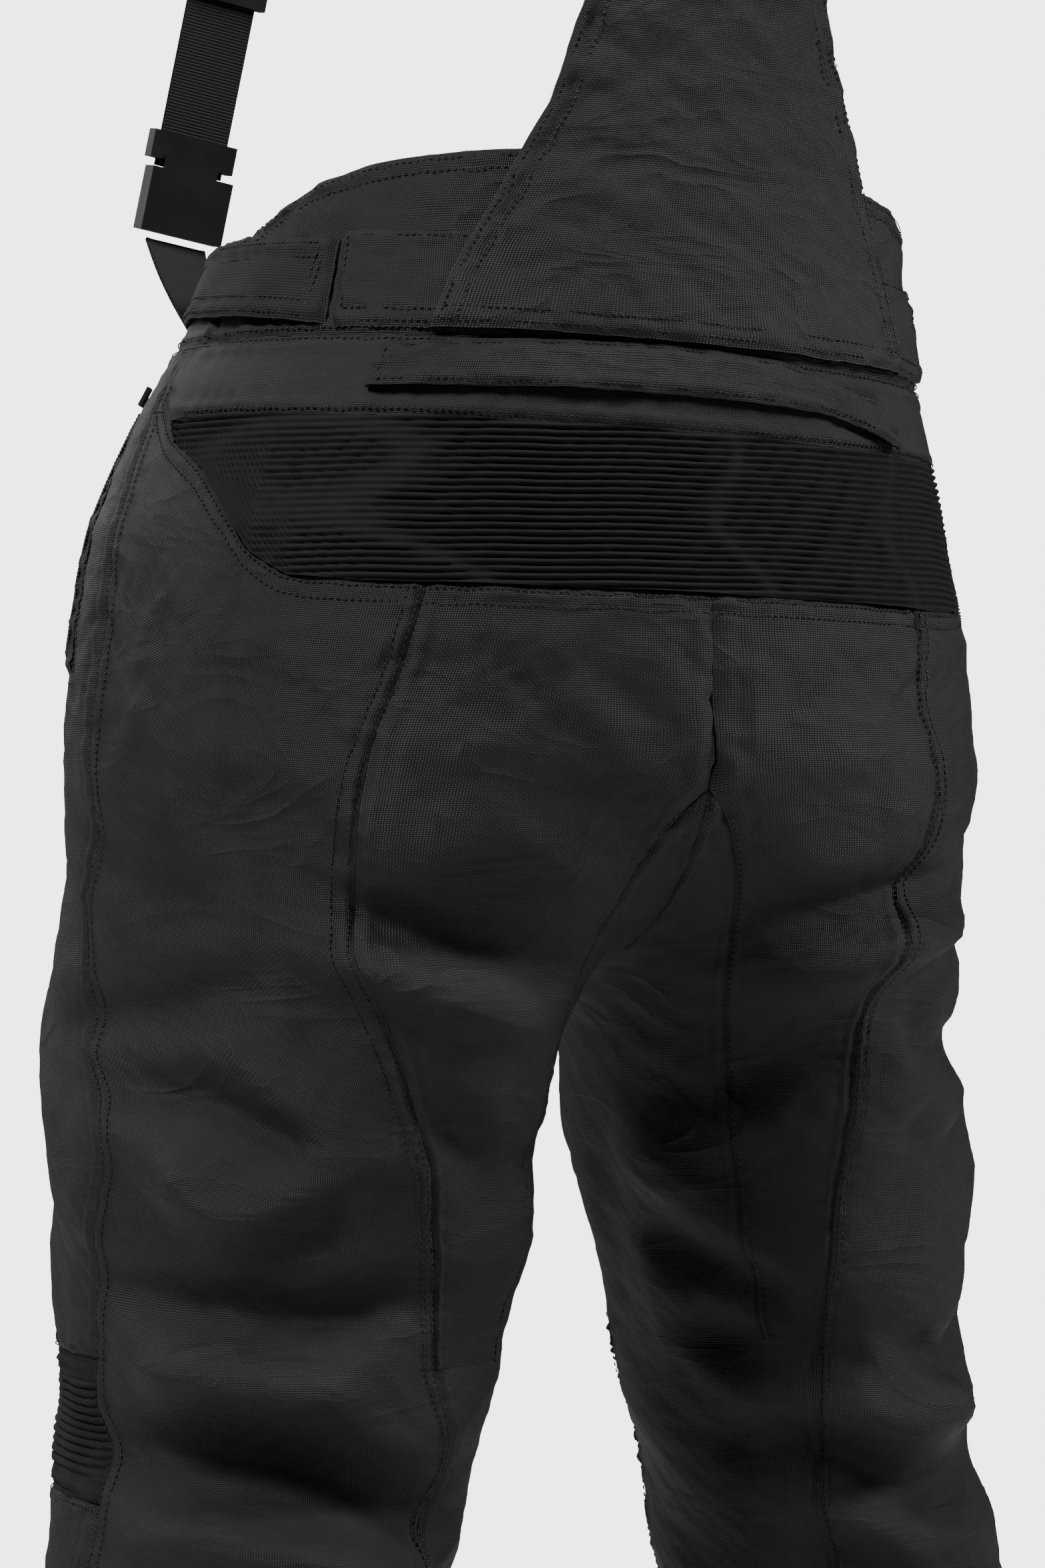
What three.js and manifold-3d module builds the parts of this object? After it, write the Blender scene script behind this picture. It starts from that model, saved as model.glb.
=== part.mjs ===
// Black woven bib over-trousers with a zip-on back bib on elastic braces.
// Millimetres, +Z up. The wearer faces -Y and the wearer's left is +X. The origin is the centre of
// the waist opening, level with the zip band at the back.
import * as THREE from 'three';
import { mergeVertices } from 'three/addons/utils/BufferGeometryUtils.js';
import Module from 'manifold-3d';

const wasm = await Module();
wasm.setup();

// ---------------------------------------------------------------- driving dimensions
const HIP_SCALE = 1.0;            // girth of the seat and waist rings
const LEG_SCALE = 1.0;            // girth of the leg rings
const SHELL_T = 2.4;              // shell fabric with its lining, quilted together
const LAYER_T = 1.4;              // a doubled, stitched-on layer
const LAYER_GAP = 1.2;            // air between a stitched-on layer and the shell under it
const SEAM_GAP = 0.010;           // half seam width between neighbouring panels, in ring units
const SEAM_Z = 0.4;               // half seam width along Z
const TOE_OUT = 15 * Math.PI / 180;
const SQUARE = 2.15;              // superellipse power of the waist and hip rings
const LEAN = -0.14;               // sideways lean of the torso above the waist, per unit height
const LEAN_REACH = 290;           // height over which the torso leans
const TILT = 0.045;               // slope of the waist toward the wearer's right
const WAIST_TOP = 76;             // top of the front waistband
const BAND_TOP = 26;              // seam between the yoke and the zip band
const BAND_BOTTOM = -12;          // seam between the zip band and the stretch panel
const LUMBAR_BOTTOM = -86;        // lower seam of the stretch panel
const CROTCH_Z = -170;            // where the seat starts to turn under the body
const THIGH_BOTTOM = -440;        // end of the thigh panels
const PAD_TOP = -505;             // top of the knee pad panel
const PAD_BOTTOM = -662;          // bottom of the knee pad panel
const CALF_TOP = -622;            // top of the calf panel
const HEM_Z = -1020;
const STRAP_W = 38;               // elastic brace width
const STRAP_T = 1.6;
const SLIDE_CLEAR = 0.6;          // clearance of plastic fittings round the brace
const ADJ_T = 1.8;                // waist adjuster strap thickness

// ---------------------------------------------------------------- body form
// Waist and hip rings: height, half width, front depth, back depth, centre.
const PEL = [
  [330, 158, 112, 112, 4], [270, 160, 116, 120, 10], [210, 161, 118, 122, 12], [170, 162, 118, 122, 11],
  [136, 163, 120, 124, 10], [100, 168, 125, 130, 8], [63, 176, 132, 138, 6], [30, 185, 134, 150, 3],
  [0, 197, 141, 160, 0], [-45, 211, 152, 171, 0], [-90, 221, 161, 180, 0], [-130, 228, 168, 184, 0],
  [CROTCH_Z, 230.5, 172, 187, 0],
].map(([z, a, f, b, c]) => [z, a * HIP_SCALE, f * HIP_SCALE, b * HIP_SCALE, c]);
// Leg rings: height, centre x and y, half width, half depth.
const LEG = [
  [-285, 126, 3, 96.5, 150], [-330, 132, 4, 98.5, 140.5], [-424, 140.8, 10, 89.6, 119.9],
  [-500, 153, 12, 83.5, 114], [-546, 160, 22, 86, 109], [-620, 168, 36, 84, 101],
  [-720, 177, 50, 80, 94], [-860, 188, 62, 74, 86], [HEM_Z, 200, 70, 72, 84],
].map(([z, x, y, a, b]) => [z, x, y, a * LEG_SCALE, b * LEG_SCALE]);
// The line under the body where the two legs meet, from back to front.
const CROTCH = [[0, 187 * HIP_SCALE, CROTCH_Z], [0, 118, -232], [0, 0, -250], [0, -105, -228],
  [0, -172 * HIP_SCALE, CROTCH_Z]];
const LEVELS = [...PEL, ...LEG].map((r) => r[0]);
const NP = PEL.length;

const lerp = (a, b, t) => a + (b - a) * t;
const clamp = (v, a, b) => Math.min(b, Math.max(a, v));
const sup = (v) => Math.sign(v) * Math.abs(v) ** (2 / SQUARE);
const table = (rows, x) => {
  if (x <= rows[0][0]) return rows[0][1];
  for (let i = 1; i < rows.length; i++) {
    if (x <= rows[i][0]) {
      const [a, b] = [rows[i - 1], rows[i]];
      return lerp(a[1], b[1], (x - a[0]) / (b[0] - a[0]));
    }
  }
  return rows[rows.length - 1][1];
};
const pelvisPoint = ([z, a, f, b, c], u) => {
  const t = (-90 + 22.5 * u) * Math.PI / 180;
  const s = Math.sin(t);
  return [a * sup(Math.cos(t)), c + (s > 0 ? b : f) * sup(s), z];
};
const legPoint = ([z, cx, cy, a, b], u) => {
  const t = (-120 + 30 * u) * Math.PI / 180;
  const [c, s, k, q] = [Math.cos(t), Math.sin(t), Math.cos(TOE_OUT), Math.sin(TOE_OUT)];
  return [cx + a * c * k - b * s * q, cy + a * c * q + b * s * k, z];
};
const hermite = (p0, p1, m0, m1, f) => p0.map((_, i) => {
  const f2 = f * f;
  const f3 = f2 * f;
  return (2 * f3 - 3 * f2 + 1) * p0[i] + (f3 - 2 * f2 + f) * m0[i]
    + (-2 * f3 + 3 * f2) * p1[i] + (f3 - f2) * m1[i];
});
const sub = (a, b) => a.map((v, i) => v - b[i]);
const mul = (a, k) => a.map((v) => v * k);
const crotchPoint = (u) => {
  if (u <= 8) return pelvisPoint(PEL[NP - 1], u);
  const t = u - 8;
  const i = Math.min(3, Math.floor(t));
  const g = (k) => CROTCH[clamp(k, 0, 4)];
  return hermite(g(i), g(i + 1), mul(sub(g(i + 1), g(i - 1)), 0.5), mul(sub(g(i + 2), g(i)), 0.5), t - i);
};
const ringPoint = (k, u) => {
  if (k < NP - 1) return pelvisPoint(PEL[k], Math.min(u, 8));
  if (k === NP - 1) return crotchPoint(u);
  return legPoint(LEG[k - NP], u);
};
const posture = ([x, y, z]) => {
  const t = clamp((z + 220) / 220, 0, 1);
  return [x + LEAN * clamp(z + 60, 0, LEAN_REACH), y, z + x * TILT * t * t * (3 - 2 * t)];
};
// The outer surface. u runs 0 at the centre front, 4 at the side, 8 at the centre back and 8 to 12
// over the inner leg; z is the height before posture.
function S(u, z, side = 1) {
  let w = u;
  if (w < 0 && z < CROTCH_Z) w += 12;
  let [sx, uu] = [side, w];
  if (w < 0) { sx = -side; uu = -w; }
  if (uu > 8 && z >= CROTCH_Z) { sx = -side; uu = 16 - uu; }
  const low = uu > 8 ? NP - 1 : 0;
  let k = low;
  while (k < LEVELS.length - 2 && z < LEVELS[k + 1]) k++;
  const h = LEVELS[k + 1] - LEVELS[k];
  const [p0, p1] = [ringPoint(k, uu), ringPoint(k + 1, uu)];
  const m1 = k + 2 < LEVELS.length ? mul(sub(ringPoint(k + 2, uu), p0), h / (LEVELS[k + 2] - LEVELS[k])) : sub(p1, p0);
  const m0 = k - 1 >= low ? mul(sub(p1, ringPoint(k - 1, uu)), h / (LEVELS[k + 1] - LEVELS[k - 1])) : sub(p1, p0);
  const p = hermite(p0, p1, m0, m1, (z - LEVELS[k]) / h);
  return posture([p[0] * sx, p[1], p[2]]);
}
const V = (p) => new THREE.Vector3(p[0], p[1], p[2]);

// Seams of the leg panels, as ring position against height.
const sideSeam = (z) => table([[-1020, 3.6], [-450, 3.6], [-250, 3.7], [-180, 3.98], [-50, 3.92], [30, 3.75]], z);
const princess = (z) => table([[-1020, 7.6], [-600, 7.7], [-500, 7.65], [-450, 7.25], [-400, 7.0], [-340, 6.75],
  [-300, 6.35], [-260, 6.15], [-220, 6.05], [-180, 6.22], [-130, 6.4], [-70, 6.45]], z);
const yokeTop = (u) => table([[4.1, 78], [4.85, 100], [5.4, 108], [5.9, 112], [6.65, 116], [8, 117]], u);
const lumbarEdge = (u) => table([[4.2, BAND_TOP], [4.28, -13], [4.75, -31], [5.1, -55], [5.3, -73], [5.6, -84],
  [6.1, LUMBAR_BOTTOM]], u);
const bibEdge = (z) => table([[28, 6.15], [50, 6.18], [70, 6.28], [90, 6.43], [110, 6.57], [134, 6.72],
  [160, 6.87], [180, 6.98], [200, 7.08], [250, 7.2], [295, 7.3]], z);
const fold = (u) => (u > 8 ? 16 - u : u);

// ---------------------------------------------------------------- solids
const FINISH = {
  shell: ['#2e2e33', 0.85], stretch: ['#19191c', 0.9], webbing: ['#26262a', 0.8], plastic: ['#1b1b1d', 0.45],
  metal: ['#2a2a2c', 0.35], foam: ['#5b5b60', 0.7],
};
const group = new THREE.Group();
group.name = 'bib_over_trousers';
const add = (name, geometry, finish) => {
  const [color, roughness] = FINISH[finish];
  const mesh = new THREE.Mesh(geometry, new THREE.MeshStandardMaterial({ name, color, roughness }));
  mesh.name = name;
  group.add(mesh);
};
const indexed = (points, faces) => {
  const g = new THREE.BufferGeometry();
  g.setAttribute('position', new THREE.Float32BufferAttribute(points.flat(), 3));
  g.setIndex(faces.flat());
  return g;
};
// A closed plate over a grid of points: inner and outer faces at two offsets along the normals.
function plate(grid, low, high, flip = false) {
  const [n, m] = [grid.length, grid[0].length];
  const normal = (i, j) => {
    const a = V(grid[Math.min(n - 1, i + 1)][j]).sub(V(grid[Math.max(0, i - 1)][j]));
    const b = V(grid[i][Math.min(m - 1, j + 1)]).sub(V(grid[i][Math.max(0, j - 1)]));
    const c = a.cross(b).normalize();
    return flip ? c.negate() : c;
  };
  const points = [];
  for (const off of [low, high]) {
    for (let i = 0; i < n; i++) {
      for (let j = 0; j < m; j++) {
        const q = V(grid[i][j]).addScaledVector(normal(i, j), off);
        points.push([q.x, q.y, q.z]);
      }
    }
  }
  const id = (k, i, j) => k * n * m + i * m + j;
  const faces = [];
  const quad = (a, b, c, d) => (flip ? faces.push([a, c, b], [a, d, c]) : faces.push([a, b, c], [a, c, d]));
  for (let i = 0; i < n - 1; i++) {
    for (let j = 0; j < m - 1; j++) {
      quad(id(1, i, j), id(1, i + 1, j), id(1, i + 1, j + 1), id(1, i, j + 1));
      quad(id(0, i, j), id(0, i, j + 1), id(0, i + 1, j + 1), id(0, i + 1, j));
    }
  }
  for (let i = 0; i < n - 1; i++) {
    quad(id(0, i, 0), id(0, i + 1, 0), id(1, i + 1, 0), id(1, i, 0));
    quad(id(0, i + 1, m - 1), id(0, i, m - 1), id(1, i, m - 1), id(1, i + 1, m - 1));
  }
  for (let j = 0; j < m - 1; j++) {
    quad(id(0, 0, j + 1), id(0, 0, j), id(1, 0, j), id(1, 0, j + 1));
    quad(id(0, n - 1, j), id(0, n - 1, j + 1), id(1, n - 1, j + 1), id(1, n - 1, j));
  }
  return indexed(points, faces);
}
// A panel of the form: columns run along u, rows run down z. Side -1 is the mirror image.
function panel(uAt, zAt, cols, rows, low, high, side = 1) {
  const grid = [];
  for (let i = 0; i <= cols; i++) {
    const row = [];
    for (let j = 0; j <= rows; j++) {
      const z = zAt(i / cols, j / rows);
      row.push(S(uAt(i / cols, z), z, side));
    }
    grid.push(row);
  }
  return plate(grid, low, high, side > 0);
}
// A panel between two seams whose top edge is a list of [share of width, height].
function legPanel(uLo, uHi, top, bottom, rows, low, high, side) {
  const cols = top.length - 1;
  return panel((s, z) => {
    const w = top[Math.round(s * cols)][0];
    return lerp(uLo(z), uHi(z), w);
  }, (s, t) => lerp(top[Math.round(s * cols)][1], bottom, t), cols, rows, low, high, side);
}
const even = (n, z) => Array.from({ length: n + 1 }, (_, i) => [i / n, typeof z === 'function' ? z(i / n) : z]);
const both = (make) => { make(1, 'left'); make(-1, 'right'); };

// Boxes and boolean cuts for the moulded fittings, placed on a frame of width, travel and normal.
const toGeometry = (solid) => {
  const mesh = solid.getMesh();
  const g = new THREE.BufferGeometry();
  const stride = mesh.numProp;
  const pos = new Float32Array(mesh.vertProperties.length / stride * 3);
  for (let i = 0; i < pos.length / 3; i++) {
    for (let k = 0; k < 3; k++) pos[i * 3 + k] = mesh.vertProperties[i * stride + k];
  }
  g.setAttribute('position', new THREE.BufferAttribute(pos, 3));
  g.setIndex(new THREE.BufferAttribute(new Uint32Array(mesh.triVerts), 1));
  return mergeVertices(g, 1e-4);
};
const box = (sx, sy, sz, x = 0, y = 0, z = 0) => wasm.Manifold.cube([sx, sy, sz], true).translate([x, y, z]);
const placed = (solid, at, wide, along, out) => {
  const g = toGeometry(solid);
  g.applyMatrix4(new THREE.Matrix4().makeBasis(wide, along, out).setPosition(at));
  return g;
};
const frameAt = (u, z, side, off) => {
  const p = V(S(u, z, side));
  const du = V(S(u + 0.02, z, side)).sub(V(S(u - 0.02, z, side))).normalize();
  const dz = V(S(u, z + 1, side)).sub(V(S(u, z - 1, side))).normalize();
  const out = du.clone().cross(dz).normalize();
  if (side < 0) out.negate();
  const wide = dz.clone().cross(out).normalize();
  return { at: p.addScaledVector(out, off), wide, along: dz, out };
};
const chainSlider = (width, length, height) => box(width, length, height)
  .subtract(box(width * 0.35, length * 0.5, height, 0, length * 0.3, height * 0.55));

// ---------------------------------------------------------------- waist
add('back_yoke', panel((s) => lerp(4.15, 11.85, s), (s, t) => lerp(yokeTop(fold(lerp(4.15, 11.85, s))),
  BAND_TOP + SEAM_Z, t), 22, 3, -SHELL_T, 0), 'shell');
add('yoke_patch', panel((s) => lerp(5.36, 10.64, s), (s, t) => lerp(75, 29.5, t), 16, 2,
  LAYER_GAP, LAYER_GAP + 1), 'shell');
add('zip_band', panel((s) => lerp(4.28, 11.72, s), (s, t) => lerp(BAND_TOP - SEAM_Z, BAND_BOTTOM + SEAM_Z, t),
  22, 2, -SHELL_T, 0), 'shell');
const FLAP = [5.87, 9.55];
add('zip_cover_flap', panel((s) => lerp(FLAP[0], FLAP[1], s), (s, t) => lerp(24.5, lerp(2.5, 1.0, s)
  + 6 * Math.max(0, s - 0.93) / 0.07, t), 14, 2, 3.8, 3.8 + LAYER_T), 'shell');
add('connection_zip_tape', panel((s) => lerp(6.0, 9.45, s), (s, t) => lerp(18, 6, t), 14, 1, 0.9, 1.7), 'webbing');
add('lumbar_stretch_panel', panel((s) => lerp(4.36, 11.64, s), (s, t) => lerp(BAND_BOTTOM - SEAM_Z,
  lumbarEdge(fold(lerp(4.36, 11.64, s))) + SEAM_Z, t), 26, 4, -SHELL_T, 0), 'stretch');

// ---------------------------------------------------------------- legs above the knee
const hipTop = [3.76, 4.14, 4.2, 4.75, 5.1, 5.3, 5.6, 6.02, 6.44];
both((side, tag) => {
  const top = hipTop.map((u, i) => {
    const z = i < 2 ? BAND_TOP - SEAM_Z : Math.min(-18, lumbarEdge(u) - SEAM_Z - (i < 6 ? 4 : 0.6));
    return [clamp((u - sideSeam(z)) / (princess(z) - sideSeam(z)), 0, 1), z];
  });
  add(`hip_thigh_back_${tag}`, legPanel((z) => sideSeam(z) + SEAM_GAP, (z) => princess(z) - SEAM_GAP, top,
    THIGH_BOTTOM, 12, -SHELL_T, 0, side), 'shell');
  add(`seat_panel_${tag}`, legPanel((z) => princess(z) + SEAM_GAP, () => 8 - SEAM_GAP,
    even(5, LUMBAR_BOTTOM - SEAM_Z - 0.4), THIGH_BOTTOM, 12, -SHELL_T, 0, side), 'shell');
  add(`thigh_front_${tag}`, legPanel(() => 0.07, (z) => sideSeam(z) - SEAM_GAP, even(9, BAND_TOP - SEAM_Z),
    THIGH_BOTTOM, 12, -SHELL_T, 0, side), 'shell');
  add(`inner_thigh_${tag}`, panel((s) => lerp(8.06, 11.94, s), (s, t) => {
    const a = CROTCH_Z - 1.5;
    return lerp(a, THIGH_BOTTOM, t ** 1.15);
  }, 8, 9, -SHELL_T, 0, side), 'shell');
  add(`front_waistband_${tag}`, panel((s) => lerp(0.07, 4.12, s), (s, t) => lerp(WAIST_TOP, BAND_TOP + SEAM_Z, t),
    12, 2, -SHELL_T, 0, side), 'shell');
  // Adjuster strap, sewn in at the back of the hip and pulled forward round the side.
  add(`waist_adjuster_${tag}`, panel((s) => lerp(2.35, 5.27, s), (s, t) => {
    const k = Math.max(0, 5.27 - Math.max(3.6, lerp(2.35, 5.27, s)));
    return lerp(71 + 1.5 * k, 31 + 4.6 * k, t);
  }, 10, 1, LAYER_GAP, LAYER_GAP + ADJ_T, side), 'shell');
  // Hand pocket: a welt over its zip, and the zip's slider.
  const pocketU = (z) => lerp(2.75, 3.35, (12 - z) / 137);
  add(`pocket_welt_${tag}`, panel((s, z) => pocketU(z) + lerp(-0.09, 0.09, s), (s, t) => lerp(12, -125, t),
    2, 5, LAYER_GAP, LAYER_GAP + 1, side), 'shell');
  const f = frameAt(pocketU(4), 4, side, LAYER_GAP + 1 + 2.6);
  add(`pocket_slider_${tag}`, placed(chainSlider(6, 10, 2), f.at, f.wide, f.along, f.out), 'metal');
});

// ---------------------------------------------------------------- fly and waist closure
add('fly_flap', panel((s) => lerp(-0.12, 0.46, s), (s, t) => lerp(25, -128, t), 4, 6, 1.8, 1.8 + LAYER_T), 'shell');
add('fly_zip_tape', panel((s) => lerp(-0.16, 0.16, s), (s, t) => lerp(24, -130, t), 2, 6, -6.0, -5.2), 'webbing');
{
  const f = frameAt(0, 16, 1, -1.2);
  add('fly_slider', placed(chainSlider(7.5, 10, 2.2), f.at, f.wide, f.along, f.out), 'metal');
  add('waist_tab', panel((s) => lerp(-0.62, 0.5, s), (s, t) => lerp(66, 40, t), 5, 1, 2.2, 2.2 + LAYER_T + 0.6),
    'shell');
  const s = frameAt(-0.42, 53, 1, 2.2 + LAYER_T + 0.6 + 0.7);
  const cap = new THREE.LatheGeometry([[0, -0.3], [7, -0.3], [7.2, 0.6], [6, 1.6], [3, 2.1], [0, 2.2]]
    .map(([x, y]) => new THREE.Vector2(x, y)), 20);
  cap.applyMatrix4(new THREE.Matrix4().makeBasis(s.wide, s.out, s.wide.clone().cross(s.out)).setPosition(s.at));
  cap.deleteAttribute('normal');
  cap.deleteAttribute('uv');
  add('waist_snap', mergeVertices(cap, 1e-4), 'metal');
}

// ---------------------------------------------------------------- below the knee
both((side, tag) => {
  add(`knee_stretch_${tag}`, panel((s, z) => lerp(-1.7, sideSeam(z) - SEAM_GAP, s), (s, t) =>
    lerp(THIGH_BOTTOM - 2 * SEAM_Z, PAD_TOP + SEAM_Z, t), 9, 3, -SHELL_T, 0, side), 'stretch');
  add(`knee_back_${tag}`, panel((s, z) => lerp(sideSeam(z) + SEAM_GAP, 10.28, s), (s, t) =>
    lerp(THIGH_BOTTOM - 2 * SEAM_Z, CALF_TOP + SEAM_Z, t), 9, 5, -SHELL_T, 0, side), 'shell');
  add(`knee_pad_panel_${tag}`, panel((s, z) => lerp(-1.7, sideSeam(z) - SEAM_GAP, s), (s, t) =>
    lerp(PAD_TOP - SEAM_Z, PAD_BOTTOM + SEAM_Z, t), 9, 4, -SHELL_T, 0, side), 'shell');
  add(`shin_front_${tag}`, panel((s, z) => lerp(-1.7, sideSeam(z) - SEAM_GAP, s), (s, t) =>
    lerp(PAD_BOTTOM - SEAM_Z, HEM_Z, t), 9, 5, -SHELL_T, 0, side), 'shell');
  add(`calf_panel_${tag}`, panel((s, z) => lerp(sideSeam(z) + SEAM_GAP, 10.28, s), (s, t) =>
    lerp(CALF_TOP - SEAM_Z, HEM_Z, t), 9, 6, -SHELL_T, 0, side), 'shell');
  add(`knee_armour_${tag}`, panel((s) => lerp(-0.5, 2.3, s), (s, t) => lerp(-530, -648, t), 5, 4,
    -SHELL_T - 9.5, -SHELL_T - 1.8, side), 'foam');
  // Leg-opening zip on the outer calf, its slider, and the hook-and-loop cuff tab.
  add(`leg_zip_tape_${tag}`, panel((s) => lerp(4.3, 4.62, s), (s, t) => lerp(-760, HEM_Z + 4, t), 1, 5,
    LAYER_GAP, LAYER_GAP + 0.8, side), 'webbing');
  const f = frameAt(4.46, -1000, side, LAYER_GAP + 0.8 + 3.0);
  add(`leg_zip_slider_${tag}`, placed(chainSlider(7, 11, 2.4), f.at, f.wide, f.along, f.out), 'metal');
  add(`cuff_tab_${tag}`, panel((s) => lerp(4.95, 6.9, s), (s, t) => lerp(-968, -1003, t), 5, 1,
    LAYER_GAP, LAYER_GAP + ADJ_T, side), 'shell');
});

// ---------------------------------------------------------------- back bib and braces
add('back_bib', panel((s, z) => { const e = bibEdge(z); return lerp(e, 16 - e, s); },
  (s, t) => lerp(295, 29, t), 12, 12, 3.2, 3.2 + LAYER_T), 'shell');

// Brace centre line: height-ordered from the bib over the shoulder to the front buckle.
const BRACE = [[30, 138.6, 266], [36, 135.2, 296], [48, 126, 330], [62, 108, 362], [76, 76, 388], [88, 34, 398],
  [98, -12, 396], [108, -56, 380], [117, -92, 350], [124, -116, 312], [129, -128, 276]];
const FRONT_TOP = new THREE.Vector3(129, -128, 276);
const FRONT_END = new THREE.Vector3(139, -146, 128);
const bracePoint = (p, side) => V(posture([p[0] * side, p[1], p[2]]));
both((side, tag) => {
  const path = BRACE.map((p) => bracePoint(p, side));
  const a = bracePoint(FRONT_TOP.toArray(), side);
  const b = bracePoint(FRONT_END.toArray(), side);
  const curve = new THREE.CatmullRomCurve3(path, false, 'centripetal');
  const pts = curve.getSpacedPoints(22);
  pts.push(a.clone().lerp(b, 0.5), a.clone().lerp(b, 1));
  const down = b.clone().sub(a).normalize();
  const across = new THREE.Vector3(side, 0.05 * side, 0).addScaledVector(down, -down.x * side).normalize();
  const grid = pts.map((p, i) => {
    const t = i >= 22 ? down.clone() : curve.getTangentAt(Math.min(1, i / 22));
    const w0 = new THREE.Vector3(side, 0, 0);
    const blend = clamp((i - 14) / 8, 0, 1);
    const w = w0.lerp(across, blend);
    w.addScaledVector(t, -w.dot(t)).normalize();
    return [-0.5, 0.5].map((k) => { const q = p.clone().addScaledVector(w, k * STRAP_W); return [q.x, q.y, q.z]; });
  });
  add(`brace_${tag}`, plate(grid, side > 0 ? -STRAP_T / 2 : -STRAP_T / 2, STRAP_T / 2, side > 0), 'webbing');
  const wide = across.clone().addScaledVector(down, -across.dot(down)).normalize();
  const along = down.clone().negate();
  const out = wide.clone().cross(along).multiplyScalar(side);
  if (side < 0) wide.negate();
  const at = (share, off) => a.clone().lerp(b, share).addScaledVector(out, off);
  const [iw, it] = [STRAP_W + 2 * SLIDE_CLEAR, STRAP_T + 2 * SLIDE_CLEAR];
  // Ladder-lock adjuster round the brace.
  add(`ladder_lock_${tag}`, placed(box(iw + 8, 24, it + 4).subtract(box(iw, 60, it))
    .subtract(box(iw, 7, 12, 0, 5.5, it / 2 + 6)).subtract(box(iw, 7, 12, 0, -5.5, it / 2 + 6)),
    at(0.34, 0), wide, along, out), 'plastic');
  // Side-release buckle: a male half round the brace end, its tongue inside the female half.
  const male = box(iw + 8, 14, it + 4).subtract(box(iw, 60, it))
    .add(box(30, 30, 2.4, 0, -20, -it / 2 - 1.8)).subtract(box(iw, 60, it));
  add(`buckle_male_${tag}`, placed(male, at(0.93, 0), wide, along, out), 'plastic');
  const female = box(46, 32, 9, 0, -27.5, -it / 2 - 1.8).subtract(box(31.2, 31, 3.6, 0, -24, -it / 2 - 1.8))
    .subtract(box(10, 12, 9, 0, -24, 4));
  add(`buckle_female_${tag}`, placed(female, at(0.93, 0), wide, along, out), 'plastic');
  // Webbing tab from the female half down to the front waistband.
  const end = at(0.93, -it / 2 - 1.8).addScaledVector(along, -47);
  const foot = frameAt(1.95, 34, side, 2.2);
  const tab = [0, 0.3, 0.62, 1].map((t) => {
    const p = end.clone().lerp(foot.at, t).addScaledVector(foot.out, 5 * Math.sin(Math.PI * t) * 0.6);
    return p;
  });
  const tgrid = tab.map((p, i) => [-0.5, 0.5].map((k) => {
    const w = wide.clone().multiplyScalar(side).lerp(foot.wide.clone().multiplyScalar(1), i / 3).normalize();
    const q = p.clone().addScaledVector(w, k * 34);
    return [q.x, q.y, q.z];
  }));
  add(`brace_tab_${tag}`, plate(tgrid, 0, STRAP_T, side > 0), 'webbing');
});

// ---------------------------------------------------------------- connection zip slider
{
  const f = frameAt(6.2, 12, 1, 1.7 + 0.95);
  add('connection_zip_slider', placed(chainSlider(9, 6, 1.1), f.at, f.wide, f.along, f.out), 'metal');
}

export default group;
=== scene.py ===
"""Black woven bib over-trousers: cloth, ribs, straps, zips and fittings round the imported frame."""

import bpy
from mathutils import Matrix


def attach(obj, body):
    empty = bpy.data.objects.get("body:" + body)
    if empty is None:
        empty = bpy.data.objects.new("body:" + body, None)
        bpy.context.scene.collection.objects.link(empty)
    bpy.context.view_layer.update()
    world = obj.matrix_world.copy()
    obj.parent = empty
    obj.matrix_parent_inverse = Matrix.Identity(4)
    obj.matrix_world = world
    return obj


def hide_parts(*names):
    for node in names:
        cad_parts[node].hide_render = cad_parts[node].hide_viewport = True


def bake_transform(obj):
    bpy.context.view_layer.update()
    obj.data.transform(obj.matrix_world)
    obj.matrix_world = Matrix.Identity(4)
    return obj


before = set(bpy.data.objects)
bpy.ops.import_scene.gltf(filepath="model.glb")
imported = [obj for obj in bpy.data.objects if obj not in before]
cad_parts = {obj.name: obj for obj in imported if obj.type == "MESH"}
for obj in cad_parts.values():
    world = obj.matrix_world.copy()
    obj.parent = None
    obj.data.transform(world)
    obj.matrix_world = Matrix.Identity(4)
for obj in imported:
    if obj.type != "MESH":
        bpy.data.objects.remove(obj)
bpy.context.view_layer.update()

import logging
import math
from dataclasses import dataclass, field
from enum import Enum
from typing import Callable, Optional, Sequence

import bpy
import numpy as np
from mathutils import Vector

LOG = logging.getLogger("over_trousers")
Array = np.ndarray


class Side(Enum):
    """The wearer's left or right."""

    LEFT = 1
    RIGHT = -1

    @property
    def tag(self) -> str:
        """The word that ends a node's name on this side."""
        return self.name.lower()


def smooth(edge0: float, edge1: float, x: Array) -> Array:
    """Ramp from 0 at edge0 to 1 at edge1.

    Args:
        edge0: value where the ramp starts.
        edge1: value where it ends.
        x: values to map.

    Returns:
        The smoothed ramp of each value.
    """
    t = np.clip((np.asarray(x, float) - edge0) / (edge1 - edge0), 0.0, 1.0)
    return t * t * (3 - 2 * t)


def table(rows: Sequence[tuple[float, float]], x: Array) -> Array:
    """Straight-line look-up in rows of (x, value) with x rising."""
    r = np.array(rows, float)
    return np.interp(x, r[:, 0], r[:, 1])


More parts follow.
